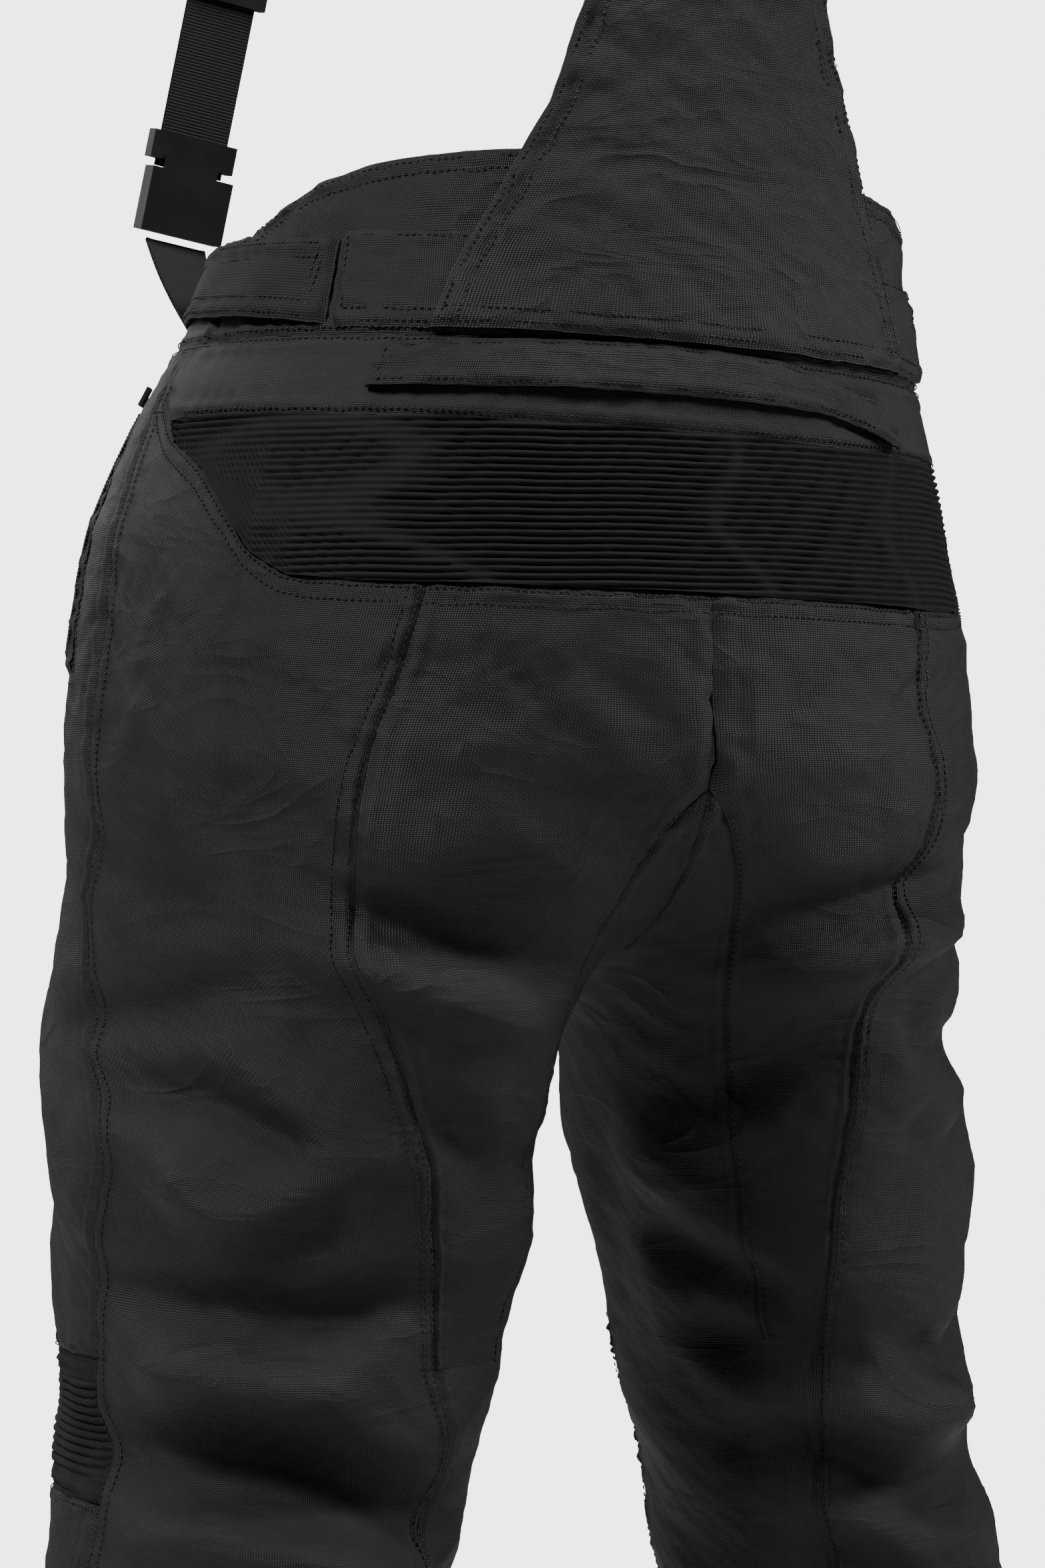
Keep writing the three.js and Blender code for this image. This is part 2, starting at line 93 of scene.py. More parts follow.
# ------------------------------------------------------------------ body form
@dataclass
class Form:
    """The worn shape as rings of points, in metres.

    A point is named by u and z: u is 0 at the centre front, 4 at the side, 8 at the centre back and
    8 to 12 over the inner leg, and z is its height before the posture is put on.
    """

    toe_out: float = math.radians(15)
    square: float = 2.15
    lean: float = -0.14
    lean_reach: float = 0.29
    slope: float = 0.045
    crotch_z: float = -0.170
    pelvis: list = field(default_factory=lambda: [
        (.330, .158, .112, .112, .004), (.270, .160, .116, .120, .010), (.210, .161, .118, .122, .012),
        (.170, .162, .118, .122, .011), (.136, .163, .120, .124, .010), (.100, .168, .125, .130, .008),
        (.063, .176, .132, .138, .006), (.030, .185, .134, .150, .003), (.000, .197, .141, .160, .0),
        (-.045, .211, .152, .171, .0), (-.090, .221, .161, .180, .0), (-.130, .228, .168, .184, .0),
        (-.170, .2305, .172, .187, .0)])
    legs: list = field(default_factory=lambda: [
        (-.285, .126, .003, .0965, .150), (-.330, .132, .004, .0985, .1405),
        (-.424, .1408, .010, .0896, .1199), (-.500, .153, .012, .0835, .114),
        (-.546, .160, .022, .086, .109), (-.620, .168, .036, .084, .101),
        (-.720, .177, .050, .080, .094), (-.860, .188, .062, .074, .086),
        (-1.020, .200, .070, .072, .084)])
    crotch: list = field(default_factory=lambda: [
        (0, .187, -.170), (0, .154, -.238), (0, .035, -.272), (0, -.092, -.240), (0, -.172, -.170)])

    def __post_init__(self) -> None:
        """Lists the ring heights."""
        self.levels = np.array([r[0] for r in self.pelvis] + [r[0] for r in self.legs])
        self.last_pelvis = len(self.pelvis) - 1

    def _pelvis_ring(self, row: tuple, u: Array) -> Array:
        """Points of a waist or hip ring.

        Args:
            row: height, half widths, depths and centre of the ring.
            u: ring positions.

        Returns:
            The points.
        """
        z, a, front, back, centre = row
        t = np.radians(-90 + 22.5 * u)
        c, s = np.cos(t), np.sin(t)
        power = 2 / self.square
        depth = np.where(s > 0, back, front)
        x = a * np.sign(c) * np.abs(c) ** power
        y = centre + depth * np.sign(s) * np.abs(s) ** power
        return np.stack([x, y, np.full_like(x, z)], -1)

    def _leg_ring(self, row: tuple, u: Array) -> Array:
        """Points of a leg ring, turned out with the foot.

        Args:
            row: height, half widths, depths and centre of the ring.
            u: ring positions.

        Returns:
            The points.
        """
        z, cx, cy, a, b = row
        t = np.radians(-120 + 30 * u)
        c, s = np.cos(t), np.sin(t)
        k, q = math.cos(self.toe_out), math.sin(self.toe_out)
        return np.stack([cx + a * c * k - b * s * q, cy + a * c * q + b * s * k, np.full_like(c, z)], -1)

    def _crotch_ring(self, u: Array) -> Array:
        """Points of the ring where the seat turns under the body.

        Args:
            u: ring positions.

        Returns:
            The points.
        """
        out = self._pelvis_ring(self.pelvis[-1], np.minimum(u, 8))
        pts = np.array(self.crotch, float)
        t = np.clip(u - 8, 0, 4)
        i = np.minimum(3, t.astype(int))
        f = (t - i)[..., None]
        g = lambda k: pts[np.clip(k, 0, 4)]
        m0, m1 = (g(i + 1) - g(i - 1)) / 2, (g(i + 2) - g(i)) / 2
        under = self._hermite(g(i), g(i + 1), m0, m1, f)
        return np.where((u > 8)[..., None], under, out)

    @staticmethod
    def _hermite(p0: Array, p1: Array, m0: Array, m1: Array, f: Array) -> Array:
        """Cubic between p0 and p1 with end slopes m0 and m1."""
        f2, f3 = f * f, f * f * f
        return ((2 * f3 - 3 * f2 + 1) * p0 + (f3 - 2 * f2 + f) * m0
                + (-2 * f3 + 3 * f2) * p1 + (f3 - f2) * m1)

    def _ring(self, k: int, u: Array) -> Array:
        """Points of ring number k.

        Args:
            k: number of the ring.
            u: ring positions.

        Returns:
            The points.
        """
        if k < self.last_pelvis:
            return self._pelvis_ring(self.pelvis[k], np.minimum(u, 8))
        if k == self.last_pelvis:
            return self._crotch_ring(u)
        return self._leg_ring(self.legs[k - self.last_pelvis - 1], u)

    def raw(self, u: Array, z: Array, side: int = 1) -> Array:
        """Surface points before the posture.

        Args:
            u: ring positions.
            z: heights.
            side: 1 for the wearer's left, -1 for the right.

        Returns:
            An array of points, one for each pair of u and z.
        """
        u, z = np.broadcast_arrays(np.asarray(u, float), np.asarray(z, float))
        w = np.where((u < 0) & (z < self.crotch_z), u + 12, u)
        sx = np.where(w < 0, -side, side).astype(float)
        uu = np.where(w < 0, -w, w)
        over = (uu > 8) & (z >= self.crotch_z)
        sx = np.where(over, -side, sx)
        uu = np.where(over, 16 - uu, uu)
        inner = uu > 8
        k = np.searchsorted(-self.levels, -z, side="right") - 1
        k = np.clip(k, np.where(inner, self.last_pelvis, 0), len(self.levels) - 2)
        out = np.zeros(u.shape + (3,))
        for kk in np.unique(k):
            for is_inner in (False, True):
                m = (k == kk) & (inner == is_inner)
                if not m.any():
                    continue
                out[m] = self._between(int(kk), uu[m], z[m], is_inner)
        out[..., 0] *= sx
        return out

    def _between(self, k: int, u: Array, z: Array, inner: bool) -> Array:
        """Points between ring k and the next.

        Args:
            k: number of the ring.
            u: ring positions.
            z: heights.
            inner: whether the points are on the inner leg.

        Returns:
            The points.
        """
        lv = self.levels
        h = lv[k + 1] - lv[k]
        p0, p1 = self._ring(k, u), self._ring(k + 1, u)
        m1 = (self._ring(k + 2, u) - p0) * h / (lv[k + 2] - lv[k]) if k + 2 < len(lv) else p1 - p0
        low = self.last_pelvis if inner else 0
        m0 = (p1 - self._ring(k - 1, u)) * h / (lv[k + 1] - lv[k - 1]) if k - 1 >= low else p1 - p0
        return self._hermite(p0, p1, m0, m1, ((z - lv[k]) / h)[..., None])

    def posture(self, p: Array) -> Array:
        """Leans the torso and tips the waist.

        Args:
            p: points.

        Returns:
            The moved points.
        """
        x, y, z = p[..., 0], p[..., 1], p[..., 2]
        t = smooth(-.22, 0.0, z)
        lean = self.lean * np.clip(z + .06, 0, self.lean_reach)
        return np.stack([x + lean, y, z + x * self.slope * t], -1)

    def point(self, u: Array, z: Array, side: int = 1) -> Array:
        """Surface points in the worn posture."""
        return self.posture(self.raw(u, z, side))


def grid_normals(p: Array, flip: bool = False) -> Array:
    """Unit normals of a grid of points.

    Args:
        p: points as columns by rows by 3.
        flip: True to turn the normals over.

    Returns:
        One normal for each point.
    """
    n = np.cross(np.gradient(p, axis=0), np.gradient(p, axis=1))
    n /= np.maximum(np.linalg.norm(n, axis=-1, keepdims=True), 1e-12)
    return -n if flip else n


# ------------------------------------------------------------------ seams
@dataclass(frozen=True)
class Seams:
    """Where the leg seams run on one side, as ring position against height."""

    side: tuple
    princess: tuple

    @staticmethod
    def of(side: Side) -> "Seams":
        """The seams of one side."""
        if side is Side.LEFT:
            return Seams(
                ((-1.02, 3.6), (-.60, 3.55), (-.50, 3.75), (-.46, 3.55), (-.40, 3.5), (-.34, 3.75),
                 (-.29, 3.4), (-.24, 3.55), (-.18, 4.0), (-.05, 3.95), (.03, 3.75)),
                ((-1.02, 7.6), (-.60, 7.75), (-.50, 7.65), (-.46, 7.2), (-.44, 6.95), (-.41, 6.88),
                 (-.376, 6.65), (-.346, 6.5), (-.314, 6.15), (-.288, 5.87), (-.25, 5.75), (-.22, 5.85),
                 (-.176, 6.1), (-.152, 6.2), (-.124, 6.35), (-.07, 6.52)))
        return Seams(
            ((-1.02, 3.6), (-.45, 3.6), (-.25, 3.7), (-.18, 3.98), (-.05, 3.92), (.03, 3.75)),
            ((-1.02, 7.6), (-.60, 7.75), (-.50, 7.7), (-.466, 7.5), (-.434, 7.38), (-.40, 7.2), (-.37, 7.1),
             (-.338, 6.95), (-.294, 6.72), (-.25, 6.6), (-.222, 6.3), (-.18, 6.35), (-.132, 6.5),
             (-.07, 6.42)))


def lumbar_edge(u: Array) -> Array:
    """Upper edge of the hip and seat panels, as height against ring position."""
    return table([(3.6, .026), (3.95, -.002), (4.25, -.019), (4.75, -.036), (5.1, -.057), (5.3, -.073),
                  (5.6, -.084), (6.1, -.086)], np.minimum(u, 16 - u))


# ------------------------------------------------------------------ the cloth itself
@dataclass(frozen=True)
class Fold:
    """A crease or ridge that the worn cloth starts from, along a line on the form."""

    side: Side
    line: tuple
    depth: float
    width: float = 0.011


FOLDS = (
    Fold(Side.LEFT, ((5.6, -.226), (6.35, -.246), (7.2, -.260), (7.9, -.262)), -.010, .012),
    Fold(Side.LEFT, ((5.5, -.246), (6.4, -.268), (7.6, -.284)), .006, .014),
    Fold(Side.LEFT, ((3.0, -.286), (4.2, -.278), (5.2, -.262)), -.006, .012),
    Fold(Side.LEFT, ((3.3, -.312), (4.6, -.318), (5.7, -.350)), -.007, .011),
    Fold(Side.LEFT, ((4.2, -.345), (5.0, -.372), (5.9, -.352)), .006, .013),
    Fold(Side.LEFT, ((6.3, -.322), (7.2, -.352), (8.4, -.345)), -.005, .011),
    Fold(Side.LEFT, ((3.4, -.398), (4.6, -.414), (5.7, -.420), (6.9, -.404)), -.009, .012),
    Fold(Side.LEFT, ((4.0, -.440), (5.2, -.446), (6.4, -.452)), .007, .014),
    Fold(Side.LEFT, ((3.4, -.478), (5.3, -.482), (6.55, -.500), (8.0, -.520)), -.015, .013),
    Fold(Side.LEFT, ((4.2, -.512), (5.8, -.520), (7.2, -.545)), .009, .014),
    Fold(Side.LEFT, ((6.0, -.560), (7.4, -.556), (8.8, -.545)), -.009, .012),
    Fold(Side.RIGHT, ((5.4, -.214), (6.4, -.226), (7.2, -.236), (8.8, -.226)), -.011, .011),
    Fold(Side.RIGHT, ((5.0, -.246), (6.2, -.244), (7.4, -.262), (8.6, -.262)), .006, .014),
    Fold(Side.RIGHT, ((4.6, -.232), (5.6, -.258), (6.4, -.276)), -.008, .010),
    Fold(Side.RIGHT, ((4.4, -.300), (5.4, -.304), (6.3, -.290)), -.008, .011),
    Fold(Side.RIGHT, ((4.6, -.340), (5.6, -.352), (6.4, -.338)), -.006, .012),
    Fold(Side.RIGHT, ((7.2, -.300), (8.4, -.322), (9.4, -.314)), -.006, .012),
    Fold(Side.RIGHT, ((9.2, -.386), (8.3, -.404), (7.4, -.428)), -.007, .010),
    Fold(Side.RIGHT, ((9.0, -.432), (8.0, -.446), (7.0, -.452)), -.006, .010),
    Fold(Side.RIGHT, ((4.4, -.430), (5.6, -.452), (6.6, -.440)), -.008, .011),
    Fold(Side.RIGHT, ((4.6, -.500), (6.45, -.512), (7.5, -.498), (8.4, -.486)), -.015, .013),
    Fold(Side.RIGHT, ((5.2, -.470), (6.5, -.482), (7.3, -.472)), .007, .014),
    Fold(Side.RIGHT, ((5.4, -.545), (6.8, -.556), (8.2, -.540)), -.008, .012),
)


@dataclass
class Grid:
    """One side's cloth as columns and rows of points, with the ring position and height of each."""

    u: Array
    z: Array
    index: Optional[Array] = None
    points: Optional[Array] = None


@dataclass
class Cloth:
    """The trouser cloth from the waist seam to the hems: cut, put on a body and let drape."""

    form: Form
    front_cols: int = 34
    hip_cols: int = 26
    seat_cols: int = 15
    inner_cols: int = 38
    upper_rows: int = 28
    lower_rows: int = 112
    top: float = 0.026
    hem: float = -1.02
    body_gap: float = 0.008
    sculpt: float = 0.72
    frames: int = 16

    def __post_init__(self) -> None:
        """Cuts the grids of both sides."""
        self.outer = {s: self._outer_grid(s) for s in Side}
        self.inner = {s: self._inner_grid() for s in Side}

    def share_of(self, side: Side, u: Array, z: Array) -> Array:
        """Column number, with a fraction, of ring positions on the outer cloth.

        Args:
            side: side of the body.
            u: ring positions.
            z: heights.

        Returns:
            Column numbers.
        """
        seams = Seams.of(side)
        a, b = table(seams.side, z), table(seams.princess, z)
        n1, n2, n3 = self.front_cols, self.hip_cols, self.seat_cols
        return np.where(u < a, u / a * n1, np.where(
            u < b, n1 + (u - a) / (b - a) * n2, n1 + n2 + (u - b) / (8 - b) * n3))

    def _outer_grid(self, side: Side) -> Grid:
        """Columns from the centre front to the centre back, seams falling on columns.

        Args:
            side: side of the body.

        Returns:
            The grid.
        """
        z = np.concatenate([np.linspace(self.top, self.form.crotch_z, self.upper_rows + 1),
                            np.linspace(self.form.crotch_z, self.hem, self.lower_rows + 1)[1:]])
        seams = Seams.of(side)
        cols = []
        for zz in z:
            a, b = float(table(seams.side, zz)), float(table(seams.princess, zz))
            cols.append(np.concatenate([np.linspace(0, a, self.front_cols + 1),
                                        np.linspace(a, b, self.hip_cols + 1)[1:],
                                        np.linspace(b, 8, self.seat_cols + 1)[1:]]))
        u = np.array(cols).T
        return Grid(u, np.broadcast_to(z, u.shape).copy())

    def _inner_grid(self) -> Grid:
        """Columns over the inner leg, from the back to the front.

        Returns:
            The grid.
        """
        z = np.linspace(self.form.crotch_z, self.hem, self.lower_rows + 1)
        z[0] -= 1e-6
        u = np.linspace(8, 12, self.inner_cols + 1)
        uu, zz = np.meshgrid(u, z, indexing="ij")
        return Grid(uu, zz)

    def _lay(self, offset: float, step: int = 1) -> tuple[Array, list]:
        """Welds all grids into one skin.

        Args:
            offset: distance outside the form.
            step: keep every step-th row and column.

        Returns:
            The welded points and the quads.
        """
        points, quads, count = [], [], 0
        for side in Side:
            for grid in (self.outer[side], self.inner[side]):
                sel = np.ix_(self._every(grid.u.shape[0], step), self._every(grid.u.shape[1], step))
                u, z = grid.u[sel], grid.z[sel]
                p = self.form.point(u, z, side.value)
                if grid is self.inner[side]:
                    p[0] = self.form.point(np.full(u.shape[1], 8.0), z[0], side.value)
                    p[-1] = self.form.point(np.zeros(u.shape[1]), z[-1], side.value)
                if offset:
                    p = p + grid_normals(p, side is Side.LEFT) * offset
                n, m = u.shape
                idx = count + np.arange(n * m).reshape(n, m)
                if step == 1:
                    grid.index = idx
                q = np.stack([idx[:-1, :-1], idx[:-1, 1:], idx[1:, 1:], idx[1:, :-1]], -1).reshape(-1, 4)
                if side is Side.RIGHT:
                    q = q[:, ::-1]
                quads.append(q)
                points.append(p.reshape(-1, 3))
                count += n * m
        p = np.concatenate(points)
        q = np.concatenate(quads)
        if offset:
            return p, q.tolist()
        _, first, back = np.unique(np.round(p, 5) + 0.0, axis=0, return_index=True, return_inverse=True)
        back = back.reshape(-1)
        for side in Side:
            for grid in (self.outer[side], self.inner[side]):
                grid.index = back[grid.index]
        return p[first], back[q].tolist()

    @staticmethod
    def _every(n: int, step: int) -> Array:
        """Every step-th index up to n - 1, with the last one."""
        i = np.arange(0, n, step)
        return i if i[-1] == n - 1 else np.append(i, n - 1)

    def _extra_length(self, z: Array) -> Array:
        """How much longer the cloth is than the body below the seat, from the waist down to z.

        Args:
            z: heights.

        Returns:
            The extra length at each height, in metres.
        """
        knots = [(-1.02, .05), (-.70, .06), (-.58, .11), (-.54, .16), (-.46, .16), (-.42, .10),
                 (-.30, .09), (-.27, .11), (-.22, .09), (-.18, .02), (-.08, .004), (.03, .0)]
        fine = np.linspace(.03, -1.02, 400)
        e = table(knots, fine)
        total = np.concatenate([[0], np.cumsum((e[1:] + e[:-1]) / 2 * np.abs(np.diff(fine)))])
        return np.interp(-z, -fine, total)

    def seeds(self, side: Side, u: Array, z: Array) -> Array:
        """Depth of the starting folds at ring positions and heights.

        Args:
            side: side of the body.
            u: ring positions.
            z: heights.

        Returns:
            Depths in metres.
        """
        out = np.zeros(u.shape)
        per_u = 0.062
        for fold in FOLDS:
            if fold.side is not side:
                continue
            line = np.array(fold.line, float)
            best = np.full(u.shape, 9.0)
            fade = np.zeros(u.shape)
            total = len(line) - 1
            for k in range(total):
                a, b = line[k], line[k + 1]
                ax, ay, bx, by = a[0] * per_u, a[1], b[0] * per_u, b[1]
                dx, dy = bx - ax, by - ay
                t = ((u * per_u - ax) * dx + (z - ay) * dy) / (dx * dx + dy * dy)
                tc = np.clip(t, 0, 1)
                d = np.hypot(u * per_u - ax - tc * dx, z - ay - tc * dy)
                near = d < best
                best = np.where(near, d, best)
                fade = np.where(near, (k + tc) / total, fade)
            ends = smooth(0, .25, fade) * smooth(1, .75, fade)
            out += 1.35 * fold.depth * np.exp(-(best / fold.width) ** 2) * (.25 + .75 * ends)
        return out

    def wobble(self, p: Array, scale: float, seed: float) -> Array:
        """Slow seeded waves over space, about 1 high.

        Args:
            p: points.
            scale: length of a wave, in metres.
            seed: shift that makes one pattern differ from another.

        Returns:
            The wave at each point.
        """
        q = p / scale + seed
        x, y, z = q[..., 0], q[..., 1], q[..., 2]
        return (np.sin(x * 1.7 + 1.3 * np.sin(z * 1.1 + y)) * np.sin(z * 2.3 + 1.1 * np.sin(x * .7 + 2))
                + .5 * np.sin(y * 3.1 + z * 4.1 + np.sin(x * 2.9)))

    def drape(self) -> None:
        """Runs the cloth on a body and keeps the draped points of each grid."""
        flat, quads = self._lay(0.0)
        start = flat.copy()
        shift = np.zeros(len(flat))
        hits = np.zeros(len(flat))
        normal = np.zeros_like(flat)
        for side in Side:
            for grid in (self.outer[side], self.inner[side]):
                p = flat[grid.index]
                n = grid_normals(p, side is Side.LEFT)
                d = self.seeds(side, grid.u, grid.z)
                np.add.at(normal, grid.index.ravel(), n.reshape(-1, 3))
                np.add.at(shift, grid.index.ravel(), d.ravel())
                np.add.at(hits, grid.index.ravel(), 1)
        normal /= np.maximum(np.linalg.norm(normal, axis=1, keepdims=True), 1e-9)
        shift /= np.maximum(hits, 1)
        self.normal = normal
        free = smooth(-.12, -.20, flat[:, 2]) * smooth(self.hem, self.hem + .05, flat[:, 2])
        shift += free * .0016 * self.wobble(flat, .05, 2.0)
        start += normal * np.maximum(shift, -self.body_gap * .8)[:, None] * free[:, None]
        held = self._held(flat)
        rest = self._rest(flat)
        draped = self._simulate(start, rest, quads, held)
        draped = self._relax(draped, quads, .35 * free, 3)
        under = np.exp(-(flat[:, 0] / .045) ** 2) * smooth(-.165, -.20,
                                                           flat[:, 2]) * smooth(-.36, -.30, flat[:, 2])
        draped = self._relax(draped, quads, .7 * under, 60)
        draped = draped + normal * (self.sculpt * shift * free * (1 - under))[:, None]
        draped = self._relax(draped, quads, .35 * free, 2)
        for side in Side:
            for grid in (self.outer[side], self.inner[side]):
                grid.points = draped[grid.index]

    @staticmethod
    def _relax(points: Array, quads: list, share: Array, rounds: int) -> Array:
        """Evens the cloth out by moving each point toward the middle of its neighbours.

        Args:
            points: where the points are.
            quads: faces of the cloth.
            share: how much of the way each point goes.
            rounds: how many times.

        Returns:
            The evened points.
        """
        q = np.array(quads)
        pairs = np.concatenate([q[:, [0, 1]], q[:, [1, 2]], q[:, [2, 3]], q[:, [3, 0]]])
        pairs = np.unique(np.sort(pairs, axis=1), axis=0)
        a, b = np.concatenate([pairs[:, 0], pairs[:, 1]]), np.concatenate([pairs[:, 1], pairs[:, 0]])
        count = np.maximum(np.bincount(a, minlength=len(points)), 1)[:, None]
        for _ in range(rounds):
            mean = np.stack([np.bincount(a, points[b, k], len(points)) for k in range(3)], -1) / count
            points = points + (mean - points) * share[:, None]
        return points

    def _held(self, p: Array) -> Array:
        """How firmly each point is held by the waist, the stretch panel and the hem, from 0 to 1.

        Args:
            p: points.

        Returns:
            The share at each point.
        """
        top = smooth(-.075, -.045, p[:, 2])
        back = smooth(-.115, -.092, p[:, 2]) * smooth(.06, .1, p[:, 1])
        hem = smooth(self.hem + .02, self.hem, p[:, 2])
        return np.maximum(np.maximum(top, back), hem)

    def _rest(self, p: Array) -> Array:
        """The cut size of the cloth, longer and a little wider than the body it hangs on.

        Args:
            p: points.

        Returns:
            The cut points.
        """
        rest = p.copy()
        share = .8 + .3 * smooth(-.06, .08, p[:, 1])
        rest[:, 2] -= self._extra_length(p[:, 2]) * share
        side = np.sign(p[:, 0])
        cx = side * np.interp(-p[:, 2], [-.03, .17, .33, .52, .72, 1.02], [0, .06, .132, .156, .177, .2])
        wide = 1 + .012 * smooth(-.1, -.25, p[:, 2])
        rest[:, 0] = cx + (p[:, 0] - cx) * wide
        rest[:, 1] = p[:, 1] * wide
        return rest

    def _simulate(self, start: Array, rest: Array, quads: list, held: Array) -> Array:
        """Steps Blender's cloth and returns the draped points.

        Args:
            start: first position of each point.
            rest: unstretched position of each point.
            quads: faces of the cloth.
            held: share by which each point is pinned.

        Returns:
            The draped position of each point.
        """
        body_points, body_quads = self._lay(-self.body_gap, 2)
        mesh = bpy.data.meshes.new("body_form")
        mesh.from_pydata(body_points.tolist(), [], body_quads)
        body = bpy.data.objects.new("body_form", mesh)
        bpy.context.scene.collection.objects.link(body)
        body.modifiers.new("Collision", "COLLISION")
        body.collision.thickness_outer = .0015
        body.collision.thickness_inner = .01
        body.collision.cloth_friction = 14
        mesh = bpy.data.meshes.new("cloth_sim")
        mesh.from_pydata(start.tolist(), [], quads)
        cloth = bpy.data.objects.new("cloth_sim", mesh)
        bpy.context.scene.collection.objects.link(cloth)
        group = cloth.vertex_groups.new(name="held")
        for i, w in enumerate(held):
            if w > .01:
                group.add([i], float(w), "REPLACE")
        cloth.shape_key_add(name="Basis")
        key = cloth.shape_key_add(name="rest")
        key.data.foreach_set("co", rest.astype(np.float32).ravel())
        key.value = 0
        mod = cloth.modifiers.new("Cloth", "CLOTH")
        s = mod.settings
        s.quality = 5
        s.mass = .0005
        s.tension_stiffness = 12
        s.compression_stiffness = 12
        s.shear_stiffness = 6
        s.bending_stiffness = .05
        s.tension_damping = s.compression_damping = s.shear_damping = 8
        s.bending_damping = .5
        s.air_damping = 1.5
        s.vertex_group_mass = "held"
        s.pin_stiffness = 40
        s.rest_shape_key = key
        mod.collision_settings.distance_min = .002
        mod.collision_settings.collision_quality = 2
        mod.collision_settings.use_self_collision = False
        scene = bpy.context.scene
        mod.point_cache.frame_start, mod.point_cache.frame_end = 1, self.frames
        for f in range(1, self.frames + 1):
            scene.frame_set(f)
        dep = bpy.context.evaluated_depsgraph_get()
        done = cloth.evaluated_get(dep).data
        out = np.empty(len(done.vertices) * 3, np.float32)
        done.vertices.foreach_get("co", out)
        out = out.reshape(-1, 3).astype(float)
        scene.frame_set(1)
        for o in (cloth, body):
            data = o.data
            bpy.data.objects.remove(o)
            bpy.data.meshes.remove(data)
        return out

    def finish(self) -> None:
        """Measures the surface directions of the draped cloth."""
        self.normals = {}
        for side in Side:
            flip = side is Side.LEFT
            outer, inner = self.outer[side], self.inner[side]
            ring = np.concatenate([outer.points[:, self.upper_rows:], inner.points[1:-1]])
            wrapped = np.concatenate([ring[-1:], ring, ring[:1]])
            n = grid_normals(wrapped, flip)[1:-1]
            cols = outer.points.shape[0]
            upper = grid_normals(outer.points, flip)
            upper[:, self.upper_rows:] = n[:cols]
            lower = np.concatenate([n[cols - 1:], n[:1]])
            self.normals[side] = (upper, lower)
        for side in Side:
            upper, other = self.normals[side][0], self.normals[Side(-side.value)][0]
            for col in (0, -1):
                mean = upper[col, :self.upper_rows] + other[col, :self.upper_rows]
                upper[col, :self.upper_rows] = mean / np.linalg.norm(mean, axis=-1, keepdims=True)
                other[col, :self.upper_rows] = upper[col, :self.upper_rows]

    @staticmethod
    def _between(values: Array, i: Array, j: Array) -> Array:
        """Values of a smooth surface through a grid, at fractional column i and row j.

        Args:
            values: values at the grid points.
            i: column, with a fraction.
            j: row, with a fraction.

        Returns:
            The values.
        """
        n, m = values.shape[:2]
        i, j = np.clip(i, 0, n - 1), np.clip(j, 0, m - 1)
        a, b = np.minimum(i.astype(int), n - 2), np.minimum(j.astype(int), m - 2)

        def weights(f: Array) -> tuple:
            """Weights of the four grid lines round a share f."""
            g = 1 - f
            return (-.5 * f * g * g, g + f * g * (g - .5 * f), f + f * g * (f - .5 * g), -.5 * f * f * g)

        out = 0.0
        for k, wi in enumerate(weights(i - a)):
            for h, wj in enumerate(weights(j - b)):
                out = out + (wi * wj)[..., None] * values[np.clip(a + k - 1, 0, n - 1),
                                                          np.clip(b + h - 1, 0, m - 1)]
        return out

    def at(self, side: Side, u: Array, z: Array) -> tuple[Array, Array]:
        """Points of the draped cloth and the way they face.

        Args:
            side: the side whose ring positions u counts.
            u: ring positions; past the centre lines they reach the other side or the inner leg.
            z: heights on the form.

        Returns:
            The points and their unit normals.
        """
        u, z = np.broadcast_arrays(np.asarray(u, float), np.asarray(z, float))
        above = z >= self.form.crotch_z
        other = above & ((u < 0) | (u > 8))
        uu = np.where(above & (u < 0), -u, np.where(above & (u > 8), 16 - u, np.where(u < 0, u + 12, u)))
        row = np.where(above, (self.top - z) / (self.top - self.form.crotch_z) * self.upper_rows,
                       self.upper_rows + (self.form.crotch_z - z) / (self.form.crotch_z - self.hem)
                       * self.lower_rows)
        p, n = np.zeros(u.shape + (3,)), np.zeros(u.shape + (3,))
        for turned, here in ((False, side), (True, Side(-side.value))):
            for inner in (False, True):
                m = (other == turned) & ((~above & (uu > 8)) == inner)
                if not m.any():
                    continue
                grid = (self.inner if inner else self.outer)[here]
                i = (uu[m] - 8) / 4 * self.inner_cols if inner else self.share_of(here, uu[m], z[m])
                j = row[m] - (self.upper_rows if inner else 0)
                p[m] = self._between(grid.points, i, j)
                n[m] = self._between(self.normals[here][1 if inner else 0], i, j)
        high = z > self.top
        if high.any():
            p[high], n[high] = self._yoke(side, u[high], z[high])
        return p, n / np.linalg.norm(n, axis=-1, keepdims=True)

    def _yoke(self, side: Side, u: Array, z: Array) -> tuple[Array, Array]:
        """Points and normals above the waist seam, where the cloth lies on the form.

        Args:
            side: side of the body.
            u: ring positions.
            z: heights.

        Returns:
            Points and normals.
        """
        d = 1e-3
        p = self.form.point(u, z, side.value)
        du = self.form.point(u + d, z, side.value) - self.form.point(u - d, z, side.value)
        dz = self.form.point(u, z + d, side.value) - self.form.point(u, z - d, side.value)
        n = np.cross(du, dz) * side.value
        return p, n / np.linalg.norm(n, axis=-1, keepdims=True)


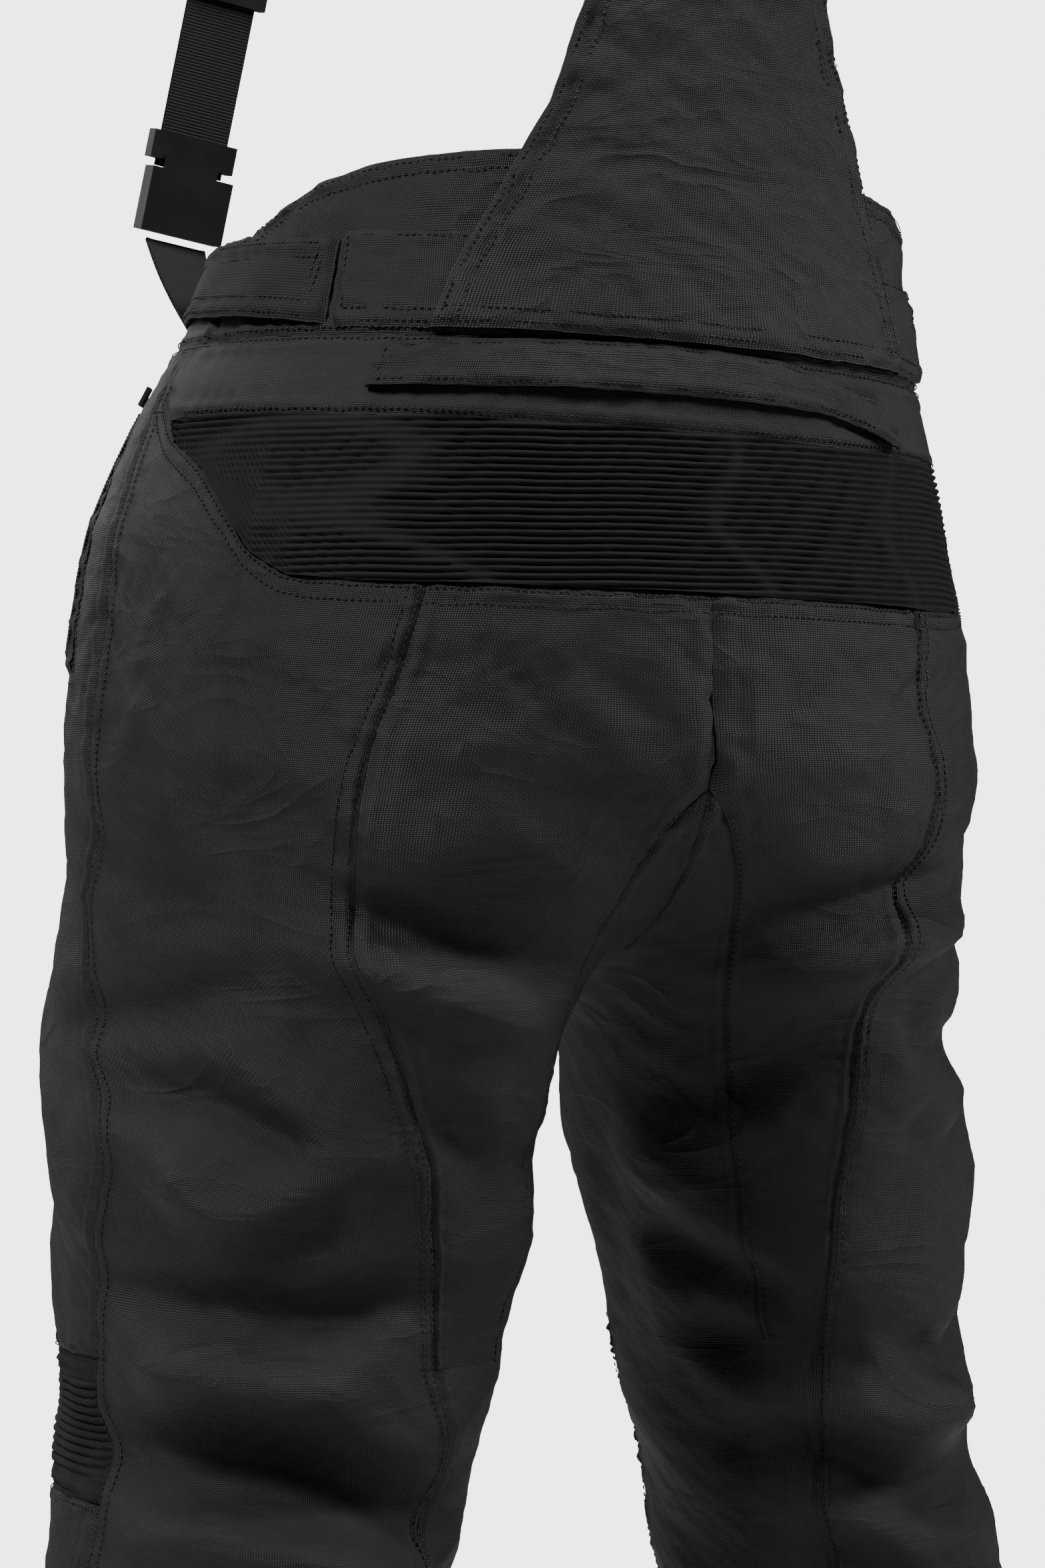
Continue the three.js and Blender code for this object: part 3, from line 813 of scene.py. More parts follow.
# ------------------------------------------------------------------ finishes
class Shader:
    """A material being made, with short calls for its nodes."""

    def __init__(self, name: str, colour: tuple[float, float, float], roughness: float) -> None:
        """Starts a plain surface.

        Args:
            name: the material's name.
            colour: linear colour.
            roughness: 0 for a mirror, 1 for chalk.
        """
        self.material = bpy.data.materials.new(name)
        self.material.use_nodes = True
        self.tree = self.material.node_tree
        self.surface = self.tree.nodes["Principled BSDF"]
        self.set("Base Color", (*colour, 1.0))
        self.set("Roughness", roughness)

    def set(self, socket: str, value: object) -> None:
        """Sets an input of the surface."""
        self.surface.inputs[socket].default_value = value

    def link(self, value: object, socket: str) -> None:
        """Feeds an input of the surface."""
        self.tree.links.new(value, self.surface.inputs[socket])

    def node(self, kind: str, inputs: dict, **settings: object) -> object:
        """Adds a node.

        Args:
            kind: node type.
            inputs: value or output for each input, by name or number.
            settings: node properties.

        Returns:
            The node.
        """
        made = self.tree.nodes.new(kind)
        for key, value in settings.items():
            setattr(made, key, value)
        for key, value in inputs.items():
            if isinstance(value, bpy.types.NodeSocket):
                self.tree.links.new(value, made.inputs[key])
            else:
                made.inputs[key].default_value = value
        return made

    def math(self, operation: str, a: object, b: object = 0.0, c: object = 0.0) -> object:
        """Result of a math node."""
        return self.node("ShaderNodeMath", {0: a, 1: b, 2: c}, operation=operation).outputs[0]

    def cloth_coordinates(self) -> tuple[object, object]:
        """Distance across and along the cloth, in metres.

        Returns:
            The two distances.
        """
        uv = self.node("ShaderNodeUVMap", {}, uv_map=WEAVE_MAP).outputs[0]
        parts = self.node("ShaderNodeSeparateXYZ", {0: uv})
        return parts.outputs[0], parts.outputs[1]

    def object_noise(self, scale: float, detail: float = 3.0) -> object:
        """Noise over the piece's own space, from 0 to 1."""
        place = self.node("ShaderNodeTexCoord", {}).outputs["Object"]
        return self.node("ShaderNodeTexNoise", {"Vector": place, "Scale": scale, "Detail": detail}).outputs[0]

    def creases(self) -> object:
        """Short sharp creases that lie mostly across the leg, from 0 to 1 high.

        Returns:
            The height socket.
        """
        place = self.node("ShaderNodeMapping", {"Vector": self.node("ShaderNodeTexCoord",
                                                                    {}).outputs["Object"],
                          "Rotation": (0, .35, .2), "Scale": (11, 11, 27)}).outputs[0]
        noise = self.node("ShaderNodeTexNoise", {"Vector": place, "Scale": 1.0, "Detail": 2.5,
                          "Distortion": .9}).outputs[0]
        ridge = self.math("SUBTRACT", 1.0, self.math("ABSOLUTE", self.math("MULTIPLY",
                          self.math("SUBTRACT", noise, .5), 4.0)))
        where = self.object_noise(6.0, 1.0)
        return self.math("MULTIPLY", self.math("POWER", self.math("MAXIMUM", ridge, 0.0), 2.0), where)

    def ramp(self, share: object, low: tuple, high: tuple) -> object:
        """Colour between low and high."""
        return self.node("ShaderNodeMix", {"Factor": share, "A": (*low, 1.0), "B": (*high, 1.0)},
                         data_type="RGBA").outputs["Result"]

    def bump(self, height: object, distance: float, strength: float = 1.0) -> None:
        """Raises the surface by height times distance, in metres."""
        made = self.node("ShaderNodeBump", {"Height": height, "Distance": distance, "Strength": strength})
        self.link(made.outputs[0], "Normal")


WEAVE_MAP = "weave"


@dataclass(frozen=True)
class WovenFinish:
    """Coarse plain-woven nylon with a slight gloss on each thread, from lower roughness and a painted
    highlight on each thread crown.
    """

    name: str
    colour: tuple[float, float, float] = (.0030, .0030, .0044)
    # light: painted highlight colour of the thread crowns; the gaps between threads keep the dark colour
    light: tuple[float, float, float] = (.021, .021, .029)
    pitch: float = .00105
    relief: float = .00034
    roughness: float = .50
    crease: float = .0024

    def make(self) -> bpy.types.Material:
        """Makes the material.

        Returns:
            The material.
        """
        s = Shader(self.name, self.colour, self.roughness)
        across, along = s.cloth_coordinates()
        slub = s.node("ShaderNodeTexNoise", {"Scale": 90.0, "Detail": 2.0,
                      "Vector": s.node("ShaderNodeUVMap", {}, uv_map=WEAVE_MAP).outputs[0]}).outputs[0]
        sway = s.math("MULTIPLY", s.math("SUBTRACT", slub, .5), self.pitch * .9)
        k = math.pi / self.pitch
        a = s.math("SINE", s.math("MULTIPLY", s.math("ADD", across, sway), k))
        b = s.math("SINE", s.math("MULTIPLY", s.math("ADD", along, sway), k))
        product = s.math("MULTIPLY", a, b)
        warp = s.math("MAXIMUM", product, 0.0)
        weft = s.math("MULTIPLY", s.math("MAXIMUM", s.math("MULTIPLY", product, -1.0), 0.0), .72)
        height = s.math("ADD", warp, weft)
        # slow noise that makes the painted highlight on the thread crowns patchy at random
        highlight_patchiness = s.object_noise(9.0, 5.0)
        crown_highlight_mask = s.math("MULTIPLY", s.math("POWER", height, 1.7), s.math("ADD", highlight_patchiness, .25))
        # thread crowns painted lighter than the gaps: a painted highlight on each thread
        s.link(s.ramp(crown_highlight_mask, self.colour, self.light), "Base Color")
        s.link(s.math("SUBTRACT", self.roughness + .18, s.math("MULTIPLY", height, .26)), "Roughness")
        s.set("Specular IOR Level", .34)
        s.set("Sheen Weight", .02)
        s.set("Sheen Roughness", .45)
        creases = s.creases()
        s.bump(s.math("ADD", s.math("MULTIPLY", height, self.relief),
                      s.math("MULTIPLY", creases, self.crease)),
               1.0, .85)
        return s.material


@dataclass(frozen=True)
class RibFinish:
    """Fine matt knit over stretch yarns."""

    name: str
    colour: tuple[float, float, float] = (.0062, .0062, .0076)

    def make(self) -> bpy.types.Material:
        """Makes the material.

        Returns:
            The material.
        """
        s = Shader(self.name, self.colour, .8)
        across, along = s.cloth_coordinates()
        a = s.math("SINE", s.math("MULTIPLY", across, 2 * math.pi / .0009))
        b = s.math("SINE", s.math("MULTIPLY", along, 2 * math.pi / .0007))
        height = s.math("ADD", s.math("MULTIPLY", s.math("MULTIPLY", a, b), .5), .5)
        # painted highlight on the knit loop crowns and painted shade between the loops, varied at random by a
        # fine noise
        shade = s.math("MULTIPLY", height, s.object_noise(160.0))
        s.link(s.ramp(shade, self.colour, tuple(c * 3.2 for c in self.colour)), "Base Color")
        s.set("Specular IOR Level", .22)
        s.bump(height, .00022, .7)
        return s.material


@dataclass(frozen=True)
class WebbingFinish:
    """Narrow woven tape with fine ribs across it."""

    name: str
    rib: float = .0016
    colour: tuple[float, float, float] = (.0060, .0060, .0070)

    def make(self) -> bpy.types.Material:
        """Makes the material.

        Returns:
            The material.
        """
        s = Shader(self.name, self.colour, .66)
        across, along = s.cloth_coordinates()
        rib = s.math("ABSOLUTE", s.math("SINE", s.math("MULTIPLY", along, math.pi / self.rib)))
        yarn = s.math("ABSOLUTE", s.math("SINE", s.math("MULTIPLY", across, math.pi / .0008)))
        height = s.math("MULTIPLY", s.math("ADD", s.math("MULTIPLY", yarn, .45), .55), rib)
        # rib crests painted lighter than the grooves: painted highlight on the crests and painted shade in
        # the grooves
        s.link(s.ramp(height, self.colour, tuple(c * 3.0 for c in self.colour)), "Base Color")
        s.set("Specular IOR Level", .3)
        s.bump(height, .0004, .8)
        return s.material


@dataclass(frozen=True)
class HardFinish:
    """Moulded plastic, painted metal or thread: a plain colour with fine unevenness."""

    name: str
    colour: tuple[float, float, float]
    roughness: float
    metal: float = 0.0
    grain: float = 900.0
    relief: float = .00003

    def make(self) -> bpy.types.Material:
        """Makes the material.

        Returns:
            The material.
        """
        s = Shader(self.name, self.colour, self.roughness)
        s.set("Metallic", self.metal)
        fine = s.object_noise(self.grain)
        broad = s.object_noise(45.0)
        s.link(s.math("ADD", s.math("MULTIPLY", broad, .18), self.roughness - .09), "Roughness")
        s.link(s.ramp(broad, self.colour, tuple(c * 1.6 for c in self.colour)), "Base Color")
        s.bump(fine, self.relief, .5)
        return s.material


@dataclass(frozen=True)
class FoamFinish:
    """Moulded soft foam with open cells."""

    name: str
    colour: tuple[float, float, float] = (.085, .085, .092)

    def make(self) -> bpy.types.Material:
        """Makes the material.

        Returns:
            The material.
        """
        s = Shader(self.name, self.colour, .85)
        place = s.node("ShaderNodeTexCoord", {}).outputs["Object"]
        cells = s.node("ShaderNodeTexVoronoi", {"Vector": place, "Scale": 420.0}).outputs["Distance"]
        # the sunken middle of each cell is painted darker: painted shade in the open cells
        s.link(s.ramp(cells, tuple(c * .6 for c in self.colour), self.colour), "Base Color")
        s.bump(cells, .0004, .7)
        return s.material


@dataclass
class Finishes:
    """Every material of the part, made once."""

    def __post_init__(self) -> None:
        """Makes the materials."""
        self.shell = WovenFinish("shell weave").make()
        # the second colour of each weave is its painted highlight on the thread crowns
        self.band = WovenFinish("tight band weave", (.0030, .0030, .0044), (.016, .016, .022), .00078,
                                .00022, crease=.0004).make()
        self.loop = WovenFinish("hook-and-loop strap", (.0036, .0036, .0050), (.015, .015, .020), .0013,
                                .0003, .70, .0003).make()
        self.stretch = RibFinish("rib knit").make()
        self.webbing = WebbingFinish("brace elastic").make()
        self.tape = WebbingFinish("zip tape", .0009).make()
        self.thread = HardFinish("sewing thread", (.0035, .0035, .0042), .5).make()
        self.plastic = HardFinish("buckle plastic", (.010, .010, .011), .40).make()
        self.metal = HardFinish("slider metal", (.022, .022, .024), .36, .75).make()
        self.coil = HardFinish("zip coil", (.012, .012, .013), .34).make()
        self.foam = FoamFinish("armour foam").make()


# ------------------------------------------------------------------ sheet building
@dataclass
class Patch:
    """A grid of points on the worn cloth, with the way each faces and its place on the cut cloth."""

    points: Array
    normals: Array
    across: Array
    along: Array

    @property
    def size(self) -> tuple[float, float]:
        """Mean width and length along the surface.

        Returns:
            Width and length in metres.
        """
        w = np.linalg.norm(np.diff(self.points, axis=0), axis=-1).sum(0).mean()
        h = np.linalg.norm(np.diff(self.points, axis=1), axis=-1).sum(1).mean()
        return float(w), float(h)

    @property
    def area(self) -> float:
        """Surface area.

        Returns:
            Square metres.
        """
        p = self.points
        a = np.linalg.norm(np.cross(p[1:, :-1] - p[:-1, :-1], p[:-1, 1:] - p[:-1, :-1]), axis=-1)
        b = np.linalg.norm(np.cross(p[:-1, 1:] - p[1:, 1:], p[1:, :-1] - p[1:, 1:]), axis=-1)
        return float((a + b).sum() / 2)


def patch(points: Array, normals: Array) -> Patch:
    """Measures a grid of points into a patch.

    Args:
        points: grid of points.
        normals: facing of each point.

    Returns:
        The patch.
    """
    p = points
    across = np.concatenate([np.zeros((1, p.shape[1])),
                             np.cumsum(np.linalg.norm(np.diff(p, axis=0), axis=-1), 0)])
    across = np.broadcast_to(across.mean(1, keepdims=True), p.shape[:2])
    along = np.concatenate([np.zeros((p.shape[0], 1)),
                            np.cumsum(np.linalg.norm(np.diff(p, axis=1), axis=-1), 1)], 1)
    along = np.broadcast_to(along.mean(0, keepdims=True), p.shape[:2])
    return Patch(points, normals, across, along)


def link_mesh(name: str, points: Array, faces: list, material: bpy.types.Material,
              normals: Optional[Array] = None, weave: Optional[Array] = None) -> bpy.types.Object:
    """Makes an object from points and faces.

    Args:
        name: the object's name.
        points: vertex places in the row frame.
        faces: vertex numbers of each face.
        material: the finish.
        normals: shading normal of each vertex, or None for plain smooth shading.
        weave: cloth coordinates of each vertex.

    Returns:
        The object.
    """
    mesh = bpy.data.meshes.new(name)
    mesh.from_pydata(np.asarray(points, float).tolist(), [], faces)
    if weave is not None:
        layer = mesh.uv_layers.new(name=WEAVE_MAP)
        corner = np.empty(len(mesh.loops), np.int32)
        mesh.loops.foreach_get("vertex_index", corner)
        layer.data.foreach_set("uv", np.asarray(weave, np.float32)[corner].ravel())
    mesh.materials.append(material)
    mesh.shade_smooth()
    if normals is not None:
        mesh.normals_split_custom_set_from_vertices(np.asarray(normals, float).tolist())
    made = bpy.data.objects.new(name, mesh)
    bpy.context.scene.collection.objects.link(made)
    return made


def solid_sheet(name: str, outer: Patch, thickness: float, material: bpy.types.Material,
                turned: bool) -> bpy.types.Object:
    """Makes a closed sheet of cloth under a patch.

    Args:
        name: the object's name.
        outer: the outside face.
        thickness: how far in the inside face lies.
        material: the finish.
        turned: True where the grid's faces need turning to face out.

    Returns:
        The object.
    """
    n, m = outer.points.shape[:2]
    top = outer.points.reshape(-1, 3)
    facing = outer.normals.reshape(-1, 3)
    below = top - facing * thickness
    count = n * m
    idx = np.arange(count).reshape(n, m)
    quads = np.stack([idx[:-1, :-1], idx[:-1, 1:], idx[1:, 1:], idx[1:, :-1]], -1).reshape(-1, 4)
    rim = np.concatenate([idx[:, 0], idx[-1, 1:], idx[-2::-1, -1], idx[0, -2:0:-1]])
    nxt = np.roll(rim, -1)
    edge = np.stack([rim, nxt, nxt + count, rim + count], -1)
    faces = np.concatenate([quads, quads[:, ::-1] + count, edge])
    if turned:
        faces = faces[:, ::-1]
    weave = np.stack([outer.across, outer.along], -1).reshape(-1, 2)
    return link_mesh(name, np.concatenate([top, below]), faces.tolist(), material,
                     np.concatenate([facing, -facing]), np.concatenate([weave, weave]))


def spacing(length: float, pitch: float, near: bool, far: bool) -> Array:
    """Shares from 0 to 1 along a length, closer together at seamed ends.

    Args:
        length: the length in metres.
        pitch: usual distance between points.
        near: True where the start is a seam.
        far: True where the end is a seam.

    Returns:
        The shares, rising.
    """
    fine = np.array([.0007, .0016, .0028, .0042, .006, .0082, .011]) / length
    inside = np.linspace(0, 1, max(3, int(round(length / pitch)) + 1))
    lo, hi = (fine[-1] if near else 0), (1 - fine[-1] if far else 1)
    inside = inside[(inside > lo + .3 * pitch / length) & (inside < hi - .3 * pitch / length)]
    parts = [[0, 1], inside]
    parts += [fine] if near else []
    parts += [1 - fine] if far else []
    return np.unique(np.round(np.concatenate(parts), 6))


Line = Callable[[Array], Array]


@dataclass
class Panel:
    """One cut piece of cloth on the trousers: its edges on the form and how they are sewn."""

    name: str
    side: Side
    left: Line
    right: Line
    top: Line
    bottom: Line
    seams: tuple[bool, bool, bool, bool] = (True, True, True, True)
    lift: float = 0.0
    thickness: float = .0024
    pitch: float = .0042
    row_pitch: Optional[float] = None
    ripple: float = .0005
    shape: Optional[Callable] = None

    def lay(self, cloth: Cloth) -> Patch:
        """Lays the panel on the draped cloth.

        Args:
            cloth: the draped cloth.

        Returns:
            The outside face of the panel.
        """
        coarse = self._grid(np.linspace(0, 1, 9), np.linspace(0, 1, 9))
        p, _ = cloth.at(self.side, *coarse)
        rough = patch(p, p)
        width, length = rough.size
        s = spacing(width, self.pitch, self.seams[0], self.seams[1])
        t = spacing(length, self.row_pitch or self.pitch, self.seams[2], self.seams[3])
        ghost_s = np.concatenate([[s[0] - .004 / width], s, [s[-1] + .004 / width]])
        ghost_t = np.concatenate([[t[0] - .004 / length], t, [t[-1] + .004 / length]])
        u, z = self._grid(ghost_s, ghost_t)
        p, n = cloth.at(self.side, u, z)
        ss, tt = np.meshgrid(ghost_s, ghost_t, indexing="ij")
        height = self._relief(cloth, p, ss, tt, width, length)
        p = p + n * (self.lift + height)[..., None]
        if self.shape:
            p = self.shape(p, n, ss, tt)
        facing = grid_normals(p, self.side is Side.LEFT)
        inner = facing[1:-1, 1:-1]
        p = p[1:-1, 1:-1]
        return patch(p, inner)

    def _grid(self, s: Array, t: Array) -> tuple[Array, Array]:
        """Ring positions and heights at shares across and down the panel.

        Args:
            s: shares across.
            t: shares down.

        Returns:
            Ring positions and heights.
        """
        ss, tt = np.meshgrid(s, t, indexing="ij")
        z = np.full(ss.shape, float(np.mean(self.bottom(np.array([8.0])))))
        u = ss * 0
        for _ in range(3):
            u = self.left(z) + (self.right(z) - self.left(z)) * ss
            z = self.top(u) + (self.bottom(u) - self.top(u)) * tt
        return u, z

    def _relief(self, cloth: Cloth, p: Array, s: Array, t: Array, width: float, length: float) -> Array:
        """Rolled edges, puckers beside the seams and small creases.

        Args:
            cloth: the draped cloth.
            p: points.
            s: shares across.
            t: shares down.
            width: width in metres.
            length: length in metres.

        Returns:
            Height of the relief, in metres.
        """
        out = self.ripple * cloth.wobble(p, .017, 4.0) * .8 + self.ripple * .6 * cloth.wobble(p, .0065, 9.0)
        for here, d, run in ((self.seams[0], s * width, t * length), (self.seams[1], (1 - s) * width,
                                                                      t * length),
                             (self.seams[2], t * length, s * width), (self.seams[3], (1 - t) * length,
                                                                      s * width)):
            if not here:
                continue
            out = out - .0013 * np.exp(-(np.maximum(d, 0) / .0013) ** 2)
            out = out - .0005 * np.exp(-((d - .002) / .0012) ** 2)
            out = out - .0004 * np.exp(-((d - .008) / .0014) ** 2) + .0004 * np.exp(-((d - .005) / .002) ** 2)
            wave = np.sin(run / .0021 + 2.2 * np.sin(run / .0093) + self.side.value)
            out = out + .00045 * wave * np.exp(-((d - .005) / .006) ** 2)
        return out

    def make(self, cloth: Cloth, material: bpy.types.Material) -> tuple[bpy.types.Object, Patch]:
        """Cuts, lays and thickens the panel.

        Args:
            cloth: the draped cloth.
            material: surface finish.

        Returns:
            The piece and the grid it was laid on.
        """
        face = self.lay(cloth)
        made = solid_sheet(self.name, face, self.thickness, material, self.side is Side.RIGHT)
        return made, face


def level(value: float) -> Line:
    """A line at one value."""
    return lambda x: np.full(np.shape(x), float(value))


def along_table(rows: Sequence[tuple[float, float]]) -> Line:
    """A line that follows rows of (position, value)."""
    return lambda x: table(rows, x)


@dataclass
class Thread:
    """Lock stitches gathered into one piece for each body they move with."""

    cloth: Cloth
    material: bpy.types.Material
    pitch: float = .0033
    length: float = .0024
    width: float = .00042
    rows: dict = field(default_factory=dict)

    def sew(self, body: str, side: Side, u: Sequence[float], z: Sequence[float], across: float = 0.0,
            up: float = 0.0, lift: float = 0.0004) -> None:
        """Adds a row of stitches.

        Args:
            body: the group the row belongs to.
            side: side whose ring positions are used.
            u: ring positions of the row.
            z: heights of the row.
            across: how far the row is moved round the body, in metres.
            up: how far it is moved up.
            lift: how far above the cloth it lies.
        """
        u, z = np.asarray(u, float), np.asarray(z, float)
        share = np.linspace(0, 1, len(u))
        fine = np.linspace(0, 1, 60)
        u, z = np.interp(fine, share, u), np.interp(fine, share, z)
        if across:
            here, _ = self.cloth.at(side, u, z)
            there, _ = self.cloth.at(side, u + .05, z)
            u = u + across * .05 / np.maximum(np.linalg.norm(there - here, axis=-1), 1e-4)
        z = z + up
        p, _ = self.cloth.at(side, u, z)
        run = np.concatenate([[0], np.cumsum(np.linalg.norm(np.diff(p, axis=0), axis=-1))])
        count = max(2, int(run[-1] / self.pitch))
        spots = (np.arange(count) + .5) / count * run[-1]
        for shift in (-.5, .5):
            at = spots + shift * self.length
            pu, pz = np.interp(at, run, u), np.interp(at, run, z)
            q, n = self.cloth.at(side, pu, pz)
            if shift < 0:
                start = q
            else:
                end = q
        self.rows.setdefault(body, []).append((start + n * lift, end + n * lift, n))

    def straight(self, body: str, start: Array, end: Array, normal: Array) -> None:
        """Adds stitches along a straight or bent line of points in space."""
        self.rows.setdefault(body, []).append((start, end, normal))

    def make(self) -> dict:
        """Makes one mesh for each group and returns them by group.

        Returns:
            The meshes, by group.
        """
        made = {}
        for body, rows in self.rows.items():
            a = np.concatenate([r[0] for r in rows])
            b = np.concatenate([r[1] for r in rows])
            n = np.concatenate([r[2] for r in rows])
            t = b - a
            t /= np.maximum(np.linalg.norm(t, axis=1, keepdims=True), 1e-9)
            w = np.cross(n, t) * self.width
            mid, h = (a + b) / 2, n * self.width
            ring = [mid * .0 + (a * .75 + b * .25), a * .25 + b * .75]
            verts = [a - h * .6]
            for r in ring:
                verts += [r + w + h * .1, r + h * 1.15, r - w + h * .1, r - h * .6]
            verts.append(b - h * .6)
            v = np.stack(verts, 1).reshape(-1, 3)
            base = []
            for k in range(4):
                j = (k + 1) % 4
                base += [(0, 1 + j, 1 + k), (1 + k, 1 + j, 5 + j, 5 + k), (9, 5 + k, 5 + j)]
            faces = [tuple(i * 10 + x for x in f) for i in range(len(a)) for f in base]
            made[body] = link_mesh("stitching_" + body, v, faces, self.material)
        return made


# ------------------------------------------------------------------ sub-assemblies
@dataclass
class Build:
    """What every sub-assembly works with."""

    form: Form
    cloth: Cloth
    finish: Finishes
    thread: Thread

    def panel(self, panel: Panel, body: str, material: Optional[bpy.types.Material] = None,
              slot: str = "shell_fabric", nodes: Sequence[str] = (), held: str = "stretched") -> Patch:
        """Makes a panel that rides on a body and stands for its CAD node.

        Args:
            panel: what to cut.
            body: the body it moves with, or "knee" to have its placement baked into its points instead.
            material: its finish, the shell weave if left out.
            slot: not used.
            nodes: CAD nodes it stands for, its own name if left out.
            held: not used.

        Returns:
            The outside face.
        """
        made, face = panel.make(self.cloth, material or self.finish.shell)
        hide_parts(*(nodes or [panel.name]))
        if body == "knee":
            bend_at_knee(made)
        else:
            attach(made, body)
        return face


def bend_at_knee(made: bpy.types.Object) -> None:
    """Bakes a finished mesh's placement into its points and leaves it on no body."""
    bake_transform(made)


@dataclass
class SeatAndLegs:
    """The shell panels of the seat and legs, with their double-stitched seams."""

    build: Build
    knee_top: float = -.4404
    pad_top: float = -.505
    pad_bottom: float = -.662
    calf_top: float = -.622
    hem: float = -1.02

    def make(self) -> None:
        """Makes the panels and sews their seams."""
        for side in Side:
            self._thigh(side)
            self._knee(side)
            self._shin(side)
            self._sew(side)

    def _thigh(self, side: Side) -> None:
        """Panels above the knee.

        Args:
            side: side of the body.
        """
        seams = Seams.of(side)
        edge, b, tag = along_table(seams.side), self.build, side.tag
        princess = along_table(seams.princess)
        knee = level(self.knee_top)
        b.panel(Panel("hip_thigh_back_" + tag, side, edge, princess, lambda u: lumbar_edge(u) - .0002, knee,
                      (True, True, True, False)), "trousers")
        b.panel(Panel("seat_panel_" + tag, side, princess, level(8.0), lambda u: lumbar_edge(u) - .0002, knee,
                      (True, True, True, False)), "trousers")
        b.panel(Panel("thigh_front_" + tag, side, level(.0), edge, level(.0258), knee,
                      (True, True, True, True)), "trousers")
        b.panel(Panel("inner_thigh_" + tag, side, level(8.0), level(12.0), level(-.1702), knee,
                      (True, True, True, False)), "trousers")

    def _knee(self, side: Side) -> None:
        """Panels round the knee, whose placement is baked into their points.

        Args:
            side: side of the body.
        """
        edge, b, tag = along_table(Seams.of(side).side), self.build, side.tag
        princess = along_table(Seams.of(side).princess)
        for name, left, right in (("knee_back_outer_", edge, princess), ("knee_back_inner_", princess,
                                                                         level(10.3))):
            b.panel(Panel(name + tag, side, left, right, level(self.knee_top), level(self.calf_top),
                          (True, True, False, False)), "knee", nodes=("knee_back_" + tag,))
        b.panel(Panel("knee_pad_panel_" + tag, side, level(-1.7), edge, level(self.pad_top),
                      level(self.pad_bottom), pitch=.0036), "knee")
        b.panel(Panel("knee_stretch_" + tag, side, level(-1.7), edge, level(self.knee_top),
                      level(self.pad_top),
                      pitch=.0042, row_pitch=.0006, shape=RibShape(.0040, .0020)), "knee", b.finish.stretch,
                "stretch_fabric")

    def _shin(self, side: Side) -> None:
        """Panels below the knee.

        Args:
            side: side of the body.
        """
        edge, b, tag = along_table(Seams.of(side).side), self.build, side.tag
        b.panel(Panel("shin_front_" + tag, side, level(-1.7), edge, level(self.pad_bottom), level(self.hem)),
                "shin_" + tag)
        princess = along_table(Seams.of(side).princess)
        for name, left, right in (("calf_outer_", edge, princess), ("calf_inner_", princess, level(10.3))):
            b.panel(Panel(name + tag, side, left, right, level(self.calf_top), level(self.hem),
                          (True, True, False, True)), "shin_" + tag, nodes=("calf_panel_" + tag,))

    def _sew(self, side: Side) -> None:
        """Double rows beside the long seams, and single rows across the legs.

        Args:
            side: side of the body.
        """
        seams, tag, t = Seams.of(side), side.tag, self.build.thread
        spans = (("trousers", -.088, self.knee_top), ("knee_" + tag, self.knee_top, self.calf_top),
                 ("shin_" + tag, self.calf_top, self.hem))
        for body, top, bottom in spans:
            z = np.linspace(top, bottom, 60)
            for d in (-.0021, -.0083):
                t.sew(body, side, table(seams.princess, z), z, across=d)
            start = np.linspace(.006 if body == "trousers" else top, bottom, 60)
            for d in (.0021, .0083):
                t.sew(body, side, table(seams.side, start), start, across=d)
            if body != "trousers":
                t.sew(body, side, np.full(60, 10.3), z, across=-.0021)
        low = np.linspace(-.178, self.knee_top, 40)
        t.sew("trousers", side, np.full(40, 8.0), low, across=-.0022)
        u = np.linspace(table(seams.side, self.pad_top) + .0, -1.7, 50)
        t.sew("knee_" + tag, side, u, np.full(50, self.pad_top), up=-.0022)
        t.sew("knee_" + tag, side, u, np.full(50, self.knee_top), up=.0022)
        t.sew("knee_" + tag, side, u, np.full(50, self.pad_bottom), up=.0022)
        ring = np.linspace(0.0, 11.99, 120)
        for d in (.004, .024):
            t.sew("shin_" + tag, side, ring, np.full(120, self.hem), up=d)


@dataclass(frozen=True)
class RibShape:
    """Accordion ribs that run round the body, uneven like gathered cords."""

    pitch: float
    depth: float
    wander: float = .35

    def __call__(self, p: Array, n: Array, s: Array, t: Array) -> Array:
        """Raises the ribs from a panel's points.

        Args:
            p: points.
            n: facing of each point.
            s: shares across.
            t: shares down.

        Returns:
            The raised points.
        """
        h = -p[..., 2]
        x = p[..., 0] * 60
        y = p[..., 1] * 60
        drift = np.sin(x * 1.3 + 2 * np.sin(y)) + np.sin(y * 2.1 + 4)
        phase = h * 2 * math.pi / self.pitch + self.wander * drift
        pinch = 1 - .55 * np.exp(-((np.sin(x * .42 + y * .35 + .3 * np.sin(h * 90))) / .12) ** 2)
        rib = np.abs(np.cos(phase / 2)) ** .8
        return p + n * (self.depth * pinch * (rib - .6))[..., None]


